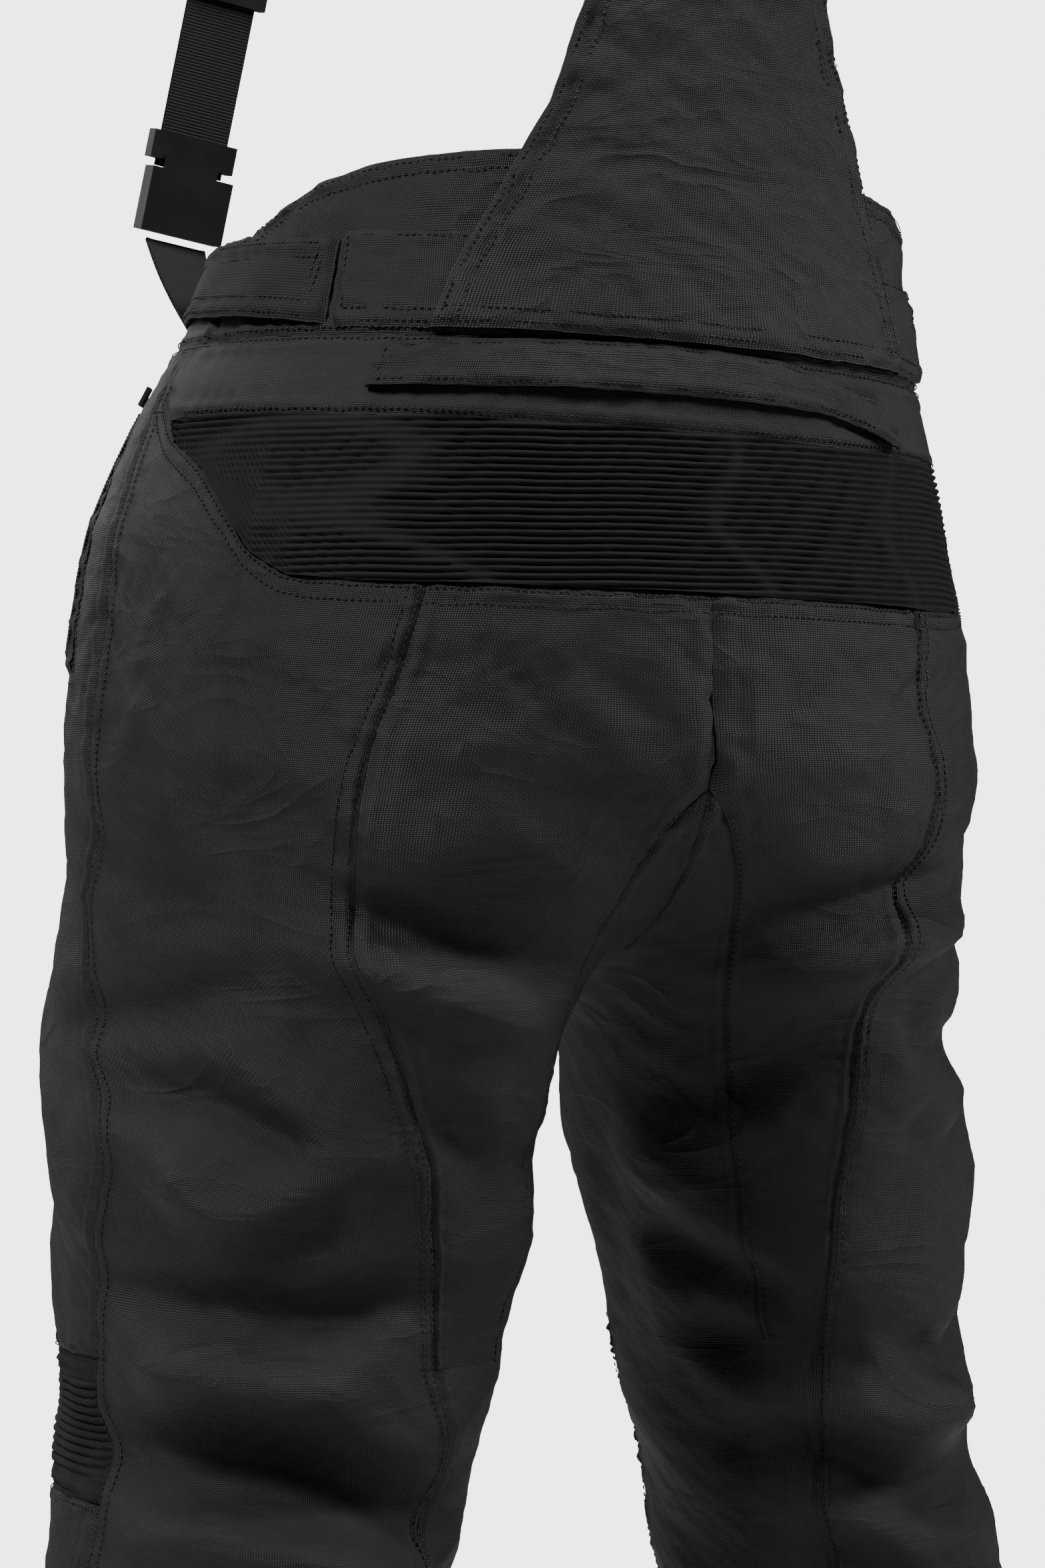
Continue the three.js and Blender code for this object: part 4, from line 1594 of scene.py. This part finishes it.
@dataclass
class Waist:
    """The kidney yoke, zip band, ribbed lumbar panel, cover flap and front waistband."""

    build: Build
    yoke_top: tuple = ((4.1, .078), (4.85, .100), (5.4, .108), (5.9, .112), (6.65, .116), (8.0, .117))
    patch_top: float = .075
    patch_bottom: float = .0292
    flap_top: tuple = ((5.87, .0215), (7.0, .0262), (7.75, .0280), (8.5, .0255), (9.2, .0160), (9.6, .0085))
    flap_edge: tuple = ((5.87, .0000), (7.0, .0030), (8.0, .0040), (8.9, .0020), (9.25, -.0030),
                        (9.45, -.0075),
                        (9.6, -.0090))

    def make(self) -> None:
        """Makes the waist pieces."""
        self._back()
        self._flap()
        self._front()
        self._sew()

    def _back(self) -> None:
        """Pieces round the back of the waist."""
        b, both = self.build, lambda u: np.minimum(u, 16 - u)
        top = lambda u: table(self.yoke_top, both(u))
        b.panel(Panel("back_yoke", Side.LEFT, level(4.12), level(11.88), top, level(.0262),
                      (True, True, True, True), pitch=.005, ripple=.0007), "trousers", b.finish.shell)
        b.panel(Panel("yoke_patch", Side.LEFT, along_table(((.026, 5.45), (.074, 5.30))),
                      along_table(((.026, 10.55), (.074, 10.70))), level(self.patch_top),
                      level(self.patch_bottom),
                      lift=.0022, thickness=.0016, pitch=.005, ripple=.0006), "trousers")
        b.panel(Panel("zip_band", Side.LEFT, level(3.78), level(12.22), level(.0260),
                      lambda u: np.maximum(-.0114, lumbar_edge(u)),
                      pitch=.005, ripple=.0003), "trousers", b.finish.band)
        b.panel(Panel("lumbar_stretch_panel", Side.LEFT, level(4.255), level(11.745), level(-.0116),
                      lambda u: lumbar_edge(u), (True, True, False, False),
                      pitch=.0030, row_pitch=.00052, shape=RibShape(.0033, .0026), ripple=.0003),
                "trousers", b.finish.stretch, "stretch_fabric")
        b.panel(Panel("connection_zip_tape", Side.LEFT, level(6.0), level(9.45), level(.018), level(.006),
                      (False, False, False, False), lift=.0016, thickness=.0008, ripple=.0001), "trousers",
                b.finish.tape, "webbing")

    def _flap(self) -> None:
        """The narrow flap over the connection zip."""
        b = self.build
        panel = Panel("zip_cover_flap", Side.LEFT, level(5.87), level(9.6), along_table(self.flap_top),
                      along_table(self.flap_edge), lift=.0046, thickness=.0016, pitch=.0036, ripple=.0005,
                      shape=lambda p, n, s, t: p - n * (.0022 * (1 - smooth(0, .35, t)))[..., None]
                      + n * (.0005 * smooth(.5, 1, t) * (1 + np.sin(s * 21)))[..., None])
        made, face = panel.make(b.cloth, b.finish.shell)
        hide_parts("zip_cover_flap")
        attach(made, "zip_flap")

    def _front(self) -> None:
        """The firm waistband in front and the straps that draw it in."""
        b = self.build
        for side in Side:
            tag = side.tag
            b.panel(Panel("front_waistband_" + tag, side, level(.035), level(4.12), level(.0775),
                          level(.0262),
                          pitch=.005, ripple=.0006), "trousers")
            back = 5.27
            reach = lambda u: back - np.maximum(3.6, u)
            slant = lambda z: np.full(np.shape(z), back) - .10 * (.0705 - np.clip(z, .03, .0705)) / .04 * -1.0
            panel = Panel("waist_adjuster_" + tag, side, level(2.35), slant,
                          lambda u: .0708 + .0015 * reach(u),
                          lambda u: .0308 + .0046 * reach(u), lift=.0034, thickness=.0020, pitch=.0034,
                          ripple=.0004, shape=self._pulled)
            made, face = panel.make(b.cloth, b.finish.loop)
            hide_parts("waist_adjuster_" + tag)
            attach(made, "adjuster_" + tag)

    @staticmethod
    def _pulled(p: Array, n: Array, s: Array, t: Array) -> Array:
        """Strap that stands off the waist between its sewn end and its fastened end."""
        free = smooth(.30, .55, s) * smooth(1.0, .84, s)
        return p + n * (.0026 * free * (.35 + .65 * t) + .0006 * np.sin(s * 17 + t * 2) * free)[..., None]

    def _sew(self) -> None:
        """Rows of stitches round the waist."""
        t, left = self.build.thread, Side.LEFT
        ring = np.linspace(4.3, 11.7, 160)
        t.sew("trousers", left, ring, np.full(160, .0262), up=.0028)
        t.sew("trousers", left, ring, np.full(160, .0262), up=-.0026)
        t.sew("trousers", left, ring, np.full(160, -.0116), up=.0026)
        edge = np.linspace(3.86, 12.14, 240)
        for d in (-.0024, -.0088):
            t.sew("trousers", left, edge, lumbar_edge(edge), up=d)
        patch_ring = np.linspace(5.47, 10.53, 120)
        t.sew("trousers", left, patch_ring, np.full(120, self.patch_top), up=-.0024, lift=.0022)
        for d in (.0026, .0086):
            t.sew("trousers", left, patch_ring, np.full(120, self.patch_bottom), up=d, lift=.0022)
        for u0, u1, sign in ((5.45, 5.30, 1), (10.55, 10.70, -1)):
            t.sew("trousers", left, (u0, u1), (self.patch_bottom + .002, self.patch_top - .002),
                  across=sign * .0024, lift=.0022)
        top = np.linspace(4.2, 11.8, 160)
        rim = table(self.yoke_top, np.minimum(top, 16 - top))
        for d in (-.003, -.009):
            t.sew("trousers", left, top, rim, up=d)
        flap = np.linspace(5.93, 9.52, 90)
        t.sew("zip_flap", left, flap, table(self.flap_top, flap), up=-.0026, lift=.0028)
        t.sew("zip_flap", left, flap, table(self.flap_edge, flap), up=.0026, lift=.0052)
        for u in (5.93, 5.99):
            t.sew("zip_flap", left, (u, u), (.0185, .0028), lift=.0042)
        for side in Side:
            tag = side.tag
            strap = np.linspace(2.45, 5.18, 80)
            reach = 5.27 - np.maximum(3.6, strap)
            rise = smooth(.30, .55, (strap - 2.35) / 2.92) * smooth(1, .84, (strap - 2.35) / 2.92)
            for base, slope, rows, k in ((.0708, .0015, (-.0024, -.0094), .45),
                                         (.0308, .0046, (.0024, .0094), .95)):
                for d in rows:
                    self._on_strap(side, strap, base + slope * reach + d, .0034 + .0026 * rise * k)
            for u in (5.10, 5.16):
                t.sew("adjuster_" + tag, side, (u, u + .02), (.034, .068), lift=.0036)
            for d in (-.003, -.010):
                t.sew("trousers", side, np.linspace(.1, 4.08, 90), np.full(90, .0775), up=d)
            t.sew("trousers", side, np.linspace(.1, 4.2, 90), np.full(90, .0262), up=.0028)
            t.sew("trousers", side, np.linspace(.1, 4.2, 90), np.full(90, .0258), up=-.0028)

    def _on_strap(self, side: Side, u: Array, z: Array, lift: Array) -> None:
        """Adds a row on a strap that stands off by a changing amount.

        Args:
            side: side of the body.
            u: ring positions.
            z: heights.
            lift: how far the row stands off, in metres.
        """
        t = self.build.thread
        p, n = self.build.cloth.at(side, u, z)
        q = p + n * lift[:, None]
        run = np.concatenate([[0], np.cumsum(np.linalg.norm(np.diff(q, axis=0), axis=-1))])
        spots = np.arange(t.pitch, run[-1] - t.pitch, t.pitch)
        pick = lambda v, at: np.stack([np.interp(at, run, v[:, k]) for k in range(3)], -1)
        t.straight("adjuster_" + side.tag, pick(q, spots - t.length / 2), pick(q, spots + t.length / 2),
                   pick(n, spots))


@dataclass
class BackBib:
    """The zip-on back bib."""

    build: Build
    left: tuple = ((.029, 6.18), (.05, 6.24), (.068, 6.32), (.08, 6.40), (.104, 6.55), (.122, 6.66),
                   (.138, 6.78),
                   (.162, 6.86), (.18, 6.92), (.25, 7.15), (.295, 7.28))
    right: tuple = ((.029, 6.12), (.048, 6.16), (.074, 6.26), (.102, 6.45), (.134, 6.65), (.156, 6.85),
                    (.178, 7.03), (.194, 7.16), (.25, 7.26), (.295, 7.34))
    top: float = .295
    bottom: float = .029

    def make(self) -> None:
        """Makes the bib and its stitching."""
        b = self.build
        far = lambda z: 16 - table(self.right, z)
        b.panel(Panel("back_bib", Side.LEFT, along_table(self.left), far, level(self.top), level(self.bottom),
                      lift=.0048, thickness=.0016, pitch=.004, ripple=.0009), "trousers")
        z = np.linspace(self.bottom + .003, self.top - .003, 90)
        t = b.thread
        for d in (.0028, .0105):
            t.sew("trousers", Side.LEFT, table(self.left, z), z, across=d, lift=.0050)
            t.sew("trousers", Side.LEFT, far(z), z, across=-d, lift=.0050)
        ring = np.linspace(6.24, 9.8, 90)
        for d in (.0032, .0092):
            t.sew("trousers", Side.LEFT, ring, np.full(90, self.bottom), up=d, lift=.0050)
        ring = np.linspace(7.32, 8.62, 40)
        t.sew("trousers", Side.LEFT, ring, np.full(40, self.top), up=-.004, lift=.0050)


@dataclass
class Braces:
    """Elastic braces from the bib over the shoulders to buckled tabs in front."""

    build: Build
    width: float = .038
    thickness: float = .0016
    tab_width: float = .034
    line: tuple = ((.030, .1386, .266), (.036, .1352, .296), (.048, .126, .330), (.062, .108, .362),
                   (.076, .076, .388), (.088, .034, .398), (.098, -.012, .396), (.108, -.056, .380),
                   (.117, -.092, .350), (.124, -.116, .312), (.129, -.128, .276))
    end: tuple = (.139, -.146, .128)

    def make(self) -> None:
        """Makes both braces and their tabs."""
        for side in Side:
            face = self._ribbon("brace_" + side.tag, side, *self._over_shoulder(side), self.width)
            self._bartack(face)
            tab = self._ribbon("brace_tab_" + side.tag, side, *self._tab(side), self.tab_width)
            self._bartack(tab, True)

    def _place(self, side: Side, p: Sequence[float]) -> Array:
        """A point of the worn posture from one before it."""
        return self.build.form.posture(np.array([p[0] * side.value, p[1], p[2]]))

    def _down(self, side: Side) -> tuple[Array, Array, Array, Array, Array]:
        """Ends, direction, width and outward direction of the straight front run.

        Args:
            side: side of the body.

        Returns:
            The five, in that order.
        """
        a, b = self._place(side, self.line[-1]), self._place(side, self.end)
        down = (b - a) / np.linalg.norm(b - a)
        across = np.array([side.value, .05 * side.value, 0]) - down * down[0] * side.value
        across -= down * across.dot(down)
        across /= np.linalg.norm(across)
        out = np.cross(across, -down) * side.value
        return a, b, down, across, out

    def _over_shoulder(self, side: Side) -> tuple[Array, Array]:
        """Centre line and width direction from the bib to the buckle.

        Args:
            side: side of the body.

        Returns:
            The centre line and width direction.
        """
        knots = np.array([self._place(side, p) for p in self.line])
        a, b, _, across, _ = self._down(side)
        run = np.concatenate([[0], np.cumsum(np.linalg.norm(np.diff(knots, axis=0), axis=1))])
        fine = np.linspace(0, run[-1], 130)
        bend = np.stack([smooth_line(fine, run, knots[:, k]) for k in range(3)], -1)
        straight = a + (b - a) * np.linspace(0, 1, 50)[1:, None]
        centre = np.concatenate([bend, straight])
        t = np.gradient(centre, axis=0)
        t /= np.linalg.norm(t, axis=1, keepdims=True)
        share = smooth(.55, 1.0, np.arange(len(centre)) / 130)[:, None]
        w = (1 - share) * np.array([side.value, 0, 0]) + share * across
        w = w - t * (w * t).sum(1, keepdims=True)
        return centre, w / np.linalg.norm(w, axis=1, keepdims=True)

    def _tab(self, side: Side) -> tuple[Array, Array]:
        """Centre line and width direction from the buckle to the waistband.

        Args:
            side: side of the body.

        Returns:
            The centre line and width direction.
        """
        a, b, down, across, out = self._down(side)
        start = a + (b - a) * .93 + out * (-.0032) + down * .047
        foot, n = self.build.cloth.at(side, np.array([1.95]), np.array([.034]))
        foot, n = foot[0] + n[0] * .0030, n[0]
        f = np.linspace(0, 1, 40)[:, None]
        centre = start + (foot - start) * f + n * .003 * np.sin(np.pi * f)
        aside, _ = self.build.cloth.at(side, np.array([1.95, 2.05]), np.array([.034, .034]))
        flat = (aside[1] - aside[0]) / np.linalg.norm(aside[1] - aside[0])
        w = across * (1 - f) + flat * f
        return centre, w / np.linalg.norm(w, axis=1, keepdims=True)

    def _ribbon(self, name: str, side: Side, centre: Array, w: Array, width: float) -> Patch:
        """Makes a webbing ribbon that stands for the CAD node of its name.

        Args:
            name: name of the CAD node it stands for.
            side: side of the body.
            centre: points of the centre line.
            w: width direction at each point.
            width: width in metres.

        Returns:
            The grid the ribbon was laid on.
        """
        b = self.build
        k = np.linspace(-.5, .5, 13)
        p = centre[None] + w[None] * (k * width)[:, None, None]
        n = grid_normals(p, side is Side.LEFT)
        over = name.startswith(("brace_l", "brace_r"))
        lift = self.thickness / 2 if over else self.thickness
        rounded = -.0004 * np.exp(-((.5 - np.abs(k)) * width / .0012) ** 2)
        p = p + n * (lift + rounded)[:, None, None] if np.ndim(rounded) else p
        face = patch(p, grid_normals(p, side is Side.LEFT))
        made = solid_sheet(name, face, self.thickness, b.finish.webbing, side is Side.RIGHT)
        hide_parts(name)
        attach(made, "trousers")
        return face

    def _bartack(self, face: Patch, far: bool = False) -> None:
        """Sews a boxed cross where a ribbon is fixed.

        Args:
            face: the grid the piece was laid on.
            far: whether the end is the far one.
        """
        m = face.points.shape[1]
        run = face.along[0]
        ends = (run[-1] - .004, run[-1] - .024) if far else (run[0] + .004, run[0] + .024)
        j = [int(np.argmin(np.abs(run - e))) for e in ends]
        corner = {(i, e): face.points[i, j[e]] + face.normals[i,
                                                              j[e]] * .0001 for i in (1, 11) for e in (0, 1)}
        lines = [((1, 0), (11, 0)), ((11, 0), (11, 1)), ((11, 1), (1, 1)), ((1, 1), (1, 0)),
                 ((1, 0), (11, 1)),
                 ((11, 0), (1, 1))]
        n = face.normals[6, min(m - 1, j[0])]
        for a, c in lines:
            p, q = corner[a], corner[c]
            count = max(3, int(np.linalg.norm(q - p) / .0031))
            f = ((np.arange(count) + .5) / count)[:, None]
            d = (q - p) / np.linalg.norm(q - p) * .0012
            mid = p + (q - p) * f
            self.build.thread.straight("trousers", mid - d, mid + d, np.repeat(n[None], count, 0))


def smooth_line(x: Array, knots: Array, values: Array) -> Array:
    """Values of a smooth curve through knots.

    Args:
        x: where the curve is read.
        knots: positions the curve passes through, rising.
        values: value at each knot.

    Returns:
        The curve at each position.
    """
    slope = np.gradient(values, knots)
    i = np.clip(np.searchsorted(knots, x, side="right") - 1, 0, len(knots) - 2)
    h = knots[i + 1] - knots[i]
    f = (x - knots[i]) / h
    f2, f3 = f * f, f * f * f
    return ((2 * f3 - 3 * f2 + 1) * values[i] + (f3 - 2 * f2 + f) * h * slope[i]
            + (3 * f2 - 2 * f3) * values[i + 1] + (f3 - f2) * h * slope[i + 1])


@dataclass
class ZipCoil:
    """Two rows of moulded teeth along a zip."""

    build: Build
    pitch: float = .0021
    size: tuple[float, float, float] = (.0022, .0013, .0013)

    def make(self, name: str, body: str, side: Side, u: Sequence[float], z: Sequence[float],
             lift: float) -> None:
        """Makes the teeth along a line on the cloth.

        Args:
            name: the piece's name.
            body: the body it moves with.
            side: side whose ring positions are used.
            u: ring positions of the line.
            z: heights of the line.
            lift: how far out the teeth stand.
        """
        fine = np.linspace(0, 1, 80)
        share = np.linspace(0, 1, len(u))
        uu, zz = np.interp(fine, share, u), np.interp(fine, share, z)
        p, n = self.build.cloth.at(side, uu, zz)
        p = p + n * lift
        run = np.concatenate([[0], np.cumsum(np.linalg.norm(np.diff(p, axis=0), axis=-1))])
        spots = np.arange(self.pitch, run[-1] - self.pitch / 2, self.pitch / 2)
        pick = lambda v: np.stack([np.interp(spots, run, v[:, k]) for k in range(3)], -1)
        c, m, t = pick(p), pick(n), pick(np.gradient(p, axis=0))
        t /= np.linalg.norm(t, axis=1, keepdims=True)
        m /= np.linalg.norm(m, axis=1, keepdims=True)
        w = np.cross(m, t)
        a, b, h = (x / 2 for x in self.size)
        odd = np.where(np.arange(len(c)) % 2, 1.0, -1.0)[:, None]
        c = c + w * odd * a * .6
        corners = [c + w * a * i + t * b * j * (.6 if k > 0 else 1) + m * h * k
                   for k in (-1, 1) for i, j in ((-1, -1), (1, -1), (1, 1), (-1, 1))]
        v = np.stack(corners, 1).reshape(-1, 3)
        base = ((3, 2, 1, 0), (4, 5, 6, 7), (0, 1, 5, 4), (1, 2, 6, 5), (2, 3, 7, 6), (3, 0, 4, 7))
        faces = [tuple(i * 8 + x for x in f) for i in range(len(c)) for f in base]
        made = link_mesh(name, v, faces, self.build.finish.coil)
        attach(made, body)


@dataclass
class FrontDetails:
    """Fly, waist tab and pocket welts."""

    build: Build

    def make(self) -> None:
        """Makes the front pieces."""
        b, left = self.build, Side.LEFT
        b.panel(Panel("fly_zip_tape", left, level(-.16), level(.16), level(.024), level(-.130),
                      (False, False, False, False), lift=-.0050, thickness=.0008, ripple=.0), "trousers",
                b.finish.tape, "webbing")
        b.panel(Panel("fly_flap", left, level(-.12), level(.46), level(.0252), level(-.128), lift=.0034,
                      thickness=.0016, pitch=.003, ripple=.0005), "trousers")
        tab = Panel("waist_tab", left, level(-.62), level(.5), level(.066), level(.040), lift=.0044,
                    thickness=.0022, pitch=.003, ripple=.0003)
        made, face = tab.make(b.cloth, b.finish.shell)
        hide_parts("waist_tab")
        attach(made, "waist_closure")
        ZipCoil(b).make("fly_zip_teeth", "trousers", left, (0, 0), (.02, -.126), -.0044)
        ZipCoil(b).make("connection_zip_teeth", "trousers", left, (6.34, 9.40), (.012, .012), .0022)
        t = b.thread
        t.sew("trousers", left, (.40, .40), (.022, -.112), lift=.0036)
        t.sew("trousers", left, np.linspace(.40, -.06, 12), -.112 - .010 * np.linspace(0, 1, 12) ** 2,
              lift=.0036)
        t.sew("trousers", left, (-.06, -.06), (.022, -.124), lift=.0036)
        for side in Side:
            self._pocket(side)

    def _pocket(self, side: Side) -> None:
        """One slanted pocket welt.

        Args:
            side: side of the body.
        """
        b, tag = self.build, side.tag
        middle = lambda z: 2.75 + .60 * (.012 - z) / .137
        b.panel(Panel("pocket_welt_" + tag, side, lambda z: middle(z) - .09, lambda z: middle(z) + .09,
                      level(.012), level(-.125), lift=.0024, thickness=.0012, pitch=.003, ripple=.0002),
                      "trousers")
        ZipCoil(b).make("pocket_teeth_" + tag, "trousers", side, (middle(-.002), middle(-.118)),
                        (-.002, -.118), .0028)
        for d in (-.0095, .0095):
            b.thread.sew("trousers", side, (middle(.012), middle(-.125)), (.012, -.125), across=d)
        for z in (.016, -.129):
            b.thread.sew("trousers", side, (middle(z) - .16, middle(z) + .16), (z, z))


@dataclass
class LegOpening:
    """Calf zip and cuff tab of each leg."""

    build: Build

    def make(self) -> None:
        """Makes the lower leg pieces."""
        b = self.build
        for side in Side:
            tag = side.tag
            b.panel(Panel("leg_zip_tape_" + tag, side, level(4.3), level(4.62), level(-.760), level(-1.016),
                          (False, False, False, False), lift=.0022, thickness=.0009, ripple=.0),
                          "shin_" + tag,
                    b.finish.tape, "webbing")
            ZipCoil(b).make("leg_zip_teeth_" + tag, "shin_" + tag, side, (4.46, 4.46), (-.766, -1.012), .0028)
            for u in (4.27, 4.65):
                b.thread.sew("shin_" + tag, side, (u, u), (-.755, -1.016), lift=.0004)
            tab = Panel("cuff_tab_" + tag, side, level(4.95), level(6.9), level(-.968), level(-1.003),
                        lift=.0036,
                        thickness=.0020, pitch=.003, ripple=.0003)
            made, face = tab.make(b.cloth, b.finish.loop)
            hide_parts("cuff_tab_" + tag)
            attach(made, "cuff_" + tag)
            for z in (-.971, -1.0):
                b.thread.sew("cuff_" + tag, side, (5.0, 6.85), (z, z), lift=.0038)
            for u in (6.72, 6.84):
                b.thread.sew("cuff_" + tag, side, (u, u), (-.972, -.999), lift=.0038)


@dataclass
class KneeArmour:
    """Soft foam armour in a pocket behind each knee panel."""

    build: Build

    def make(self) -> None:
        """Makes both pads."""
        b = self.build
        for side in Side:
            name = "knee_armour_" + side.tag
            panel = Panel(name, side, level(-.5), level(2.3), level(-.530), level(-.648), lift=-.0044,
                          thickness=.0070, pitch=.004, ripple=.0,
                          shape=lambda p, n, s,
                          t: p - n * (.0016 * (np.cos(s * 50) * np.cos(t * 44) > .35))[..., None])
            made, _ = panel.make(b.cloth, b.finish.foam)
            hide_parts(name)
            bend_at_knee(made)


@dataclass
class Fittings:
    """The moulded and metal fittings, which keep their CAD shape."""

    build: Build

    def make(self) -> None:
        """Gives each fitting its finish."""
        f = self.build.finish
        for side in Side:
            for name in ("ladder_lock_", "buckle_male_", "buckle_female_"):
                self._dress(name + side.tag, f.plastic)
            for name in ("pocket_slider_", "leg_zip_slider_"):
                self._dress(name + side.tag, f.metal)
        for name in ("connection_zip_slider", "fly_slider", "waist_snap"):
            self._dress(name, f.metal)

    def _dress(self, name: str, material: bpy.types.Material) -> None:
        """Finishes one fitting.

        Args:
            name: name of the CAD node it stands for.
            material: surface finish.
        """
        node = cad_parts[name]
        node.data.materials.clear()
        node.data.materials.append(material)


# ------------------------------------------------------------------ studio
@dataclass(frozen=True)
class Softbox:
    """A large soft light."""

    name: str
    place: tuple[float, float, float]
    power: float
    width: float
    colour: tuple[float, float, float] = (1.0, 1.0, 1.0)


@dataclass
class Studio:
    """Pale floor, soft lights and a level camera behind and to one side."""

    azimuth: float = 151.5
    distance: float = 2.4
    lens: float = 113.0
    aim: tuple[float, float, float] = (0.0, 0.0, -.173)
    floor_z: float = -1.034
    floor_radius: float = 2.9
    fill: float = .02
    backdrop: float = 4.0
    lights: tuple = (
        Softbox("key", (2.2, .7, 2.4), 140, .8),
        Softbox("top", (.1, 1.1, 2.6), 14, .7),
        Softbox("side", (-2.3, 1.1, 1.2), 55, .7),
        Softbox("front", (.4, -2.4, 1.2), 22, 2.0))

    def build(self) -> None:
        """Sets up the floor, the world, the lights and the camera."""
        self._floor()
        scene = bpy.context.scene
        world = bpy.data.worlds.new("studio")
        scene.world = world
        world.use_nodes = True
        back = world.node_tree.nodes["Background"]
        back.inputs["Color"].default_value = (1, 1, 1, 1)
        seen = world.node_tree.nodes.new("ShaderNodeLightPath").outputs["Is Camera Ray"]
        strength = world.node_tree.nodes.new("ShaderNodeMapRange")
        strength.inputs["To Min"].default_value = self.fill
        strength.inputs["To Max"].default_value = self.backdrop
        world.node_tree.links.new(seen, strength.inputs["Value"])
        world.node_tree.links.new(strength.outputs[0], back.inputs["Strength"])
        for light in self.lights:
            self._light(light)
        self._camera()

    def _floor(self) -> None:
        """A wide pale floor under the cuffs."""
        turn = np.linspace(0, 2 * math.pi, 96, endpoint=False)
        r = self.floor_radius
        mesh = bpy.data.meshes.new("floor")
        mesh.from_pydata([(r * math.cos(t), r * math.sin(t), self.floor_z) for t in turn], [],
                         [tuple(range(96))])
        floor = bpy.data.objects.new("floor", mesh)
        bpy.context.scene.collection.objects.link(floor)
        mesh.materials.append(Shader("floor paper", (.86, .86, .86), .9).material)

    def _light(self, box: Softbox) -> None:
        """Adds one softbox facing the trousers.

        Args:
            box: the softbox.
        """
        data = bpy.data.lights.new(box.name, "AREA")
        data.energy, data.size, data.color = box.power, box.width, box.colour
        lamp = bpy.data.objects.new(box.name, data)
        bpy.context.scene.collection.objects.link(lamp)
        lamp.location = box.place
        lamp.rotation_euler = (Vector(self.aim) - Vector(box.place)).to_track_quat("-Z", "Y").to_euler()

    def _camera(self) -> None:
        """Adds the camera, level and aimed at the hips."""
        data = bpy.data.cameras.new("camera")
        data.lens, data.sensor_width = self.lens, 36.0
        data.clip_start, data.clip_end = .1, 40.0
        camera = bpy.data.objects.new("camera", data)
        bpy.context.scene.collection.objects.link(camera)
        a = math.radians(self.azimuth)
        away = Vector((math.sin(a), -math.cos(a), 0.0))
        camera.location = Vector(self.aim) + away * self.distance
        camera.rotation_euler = (-away).to_track_quat("-Z", "Y").to_euler()
        bpy.context.scene.camera = camera


def main() -> None:
    """Builds the trousers piece by piece, then the studio."""
    form = Form()
    cloth = Cloth(form)
    cloth.drape()
    cloth.finish()
    LOG.info("cloth draped")
    finish = Finishes()
    thread = Thread(cloth, finish.thread)
    build = Build(form, cloth, finish, thread)
    for part in (SeatAndLegs(build), Waist(build), BackBib(build), Braces(build), FrontDetails(build),
                 LegOpening(build), KneeArmour(build), Fittings(build)):
        part.make()
        LOG.info("made %s", type(part).__name__)
    for group, piece in thread.make().items():
        if group.startswith("knee_"):
            bend_at_knee(piece)
        else:
            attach(piece, group)
    LOG.info("stitched")
    Studio().build()


if __name__ == "__main__":
    main()
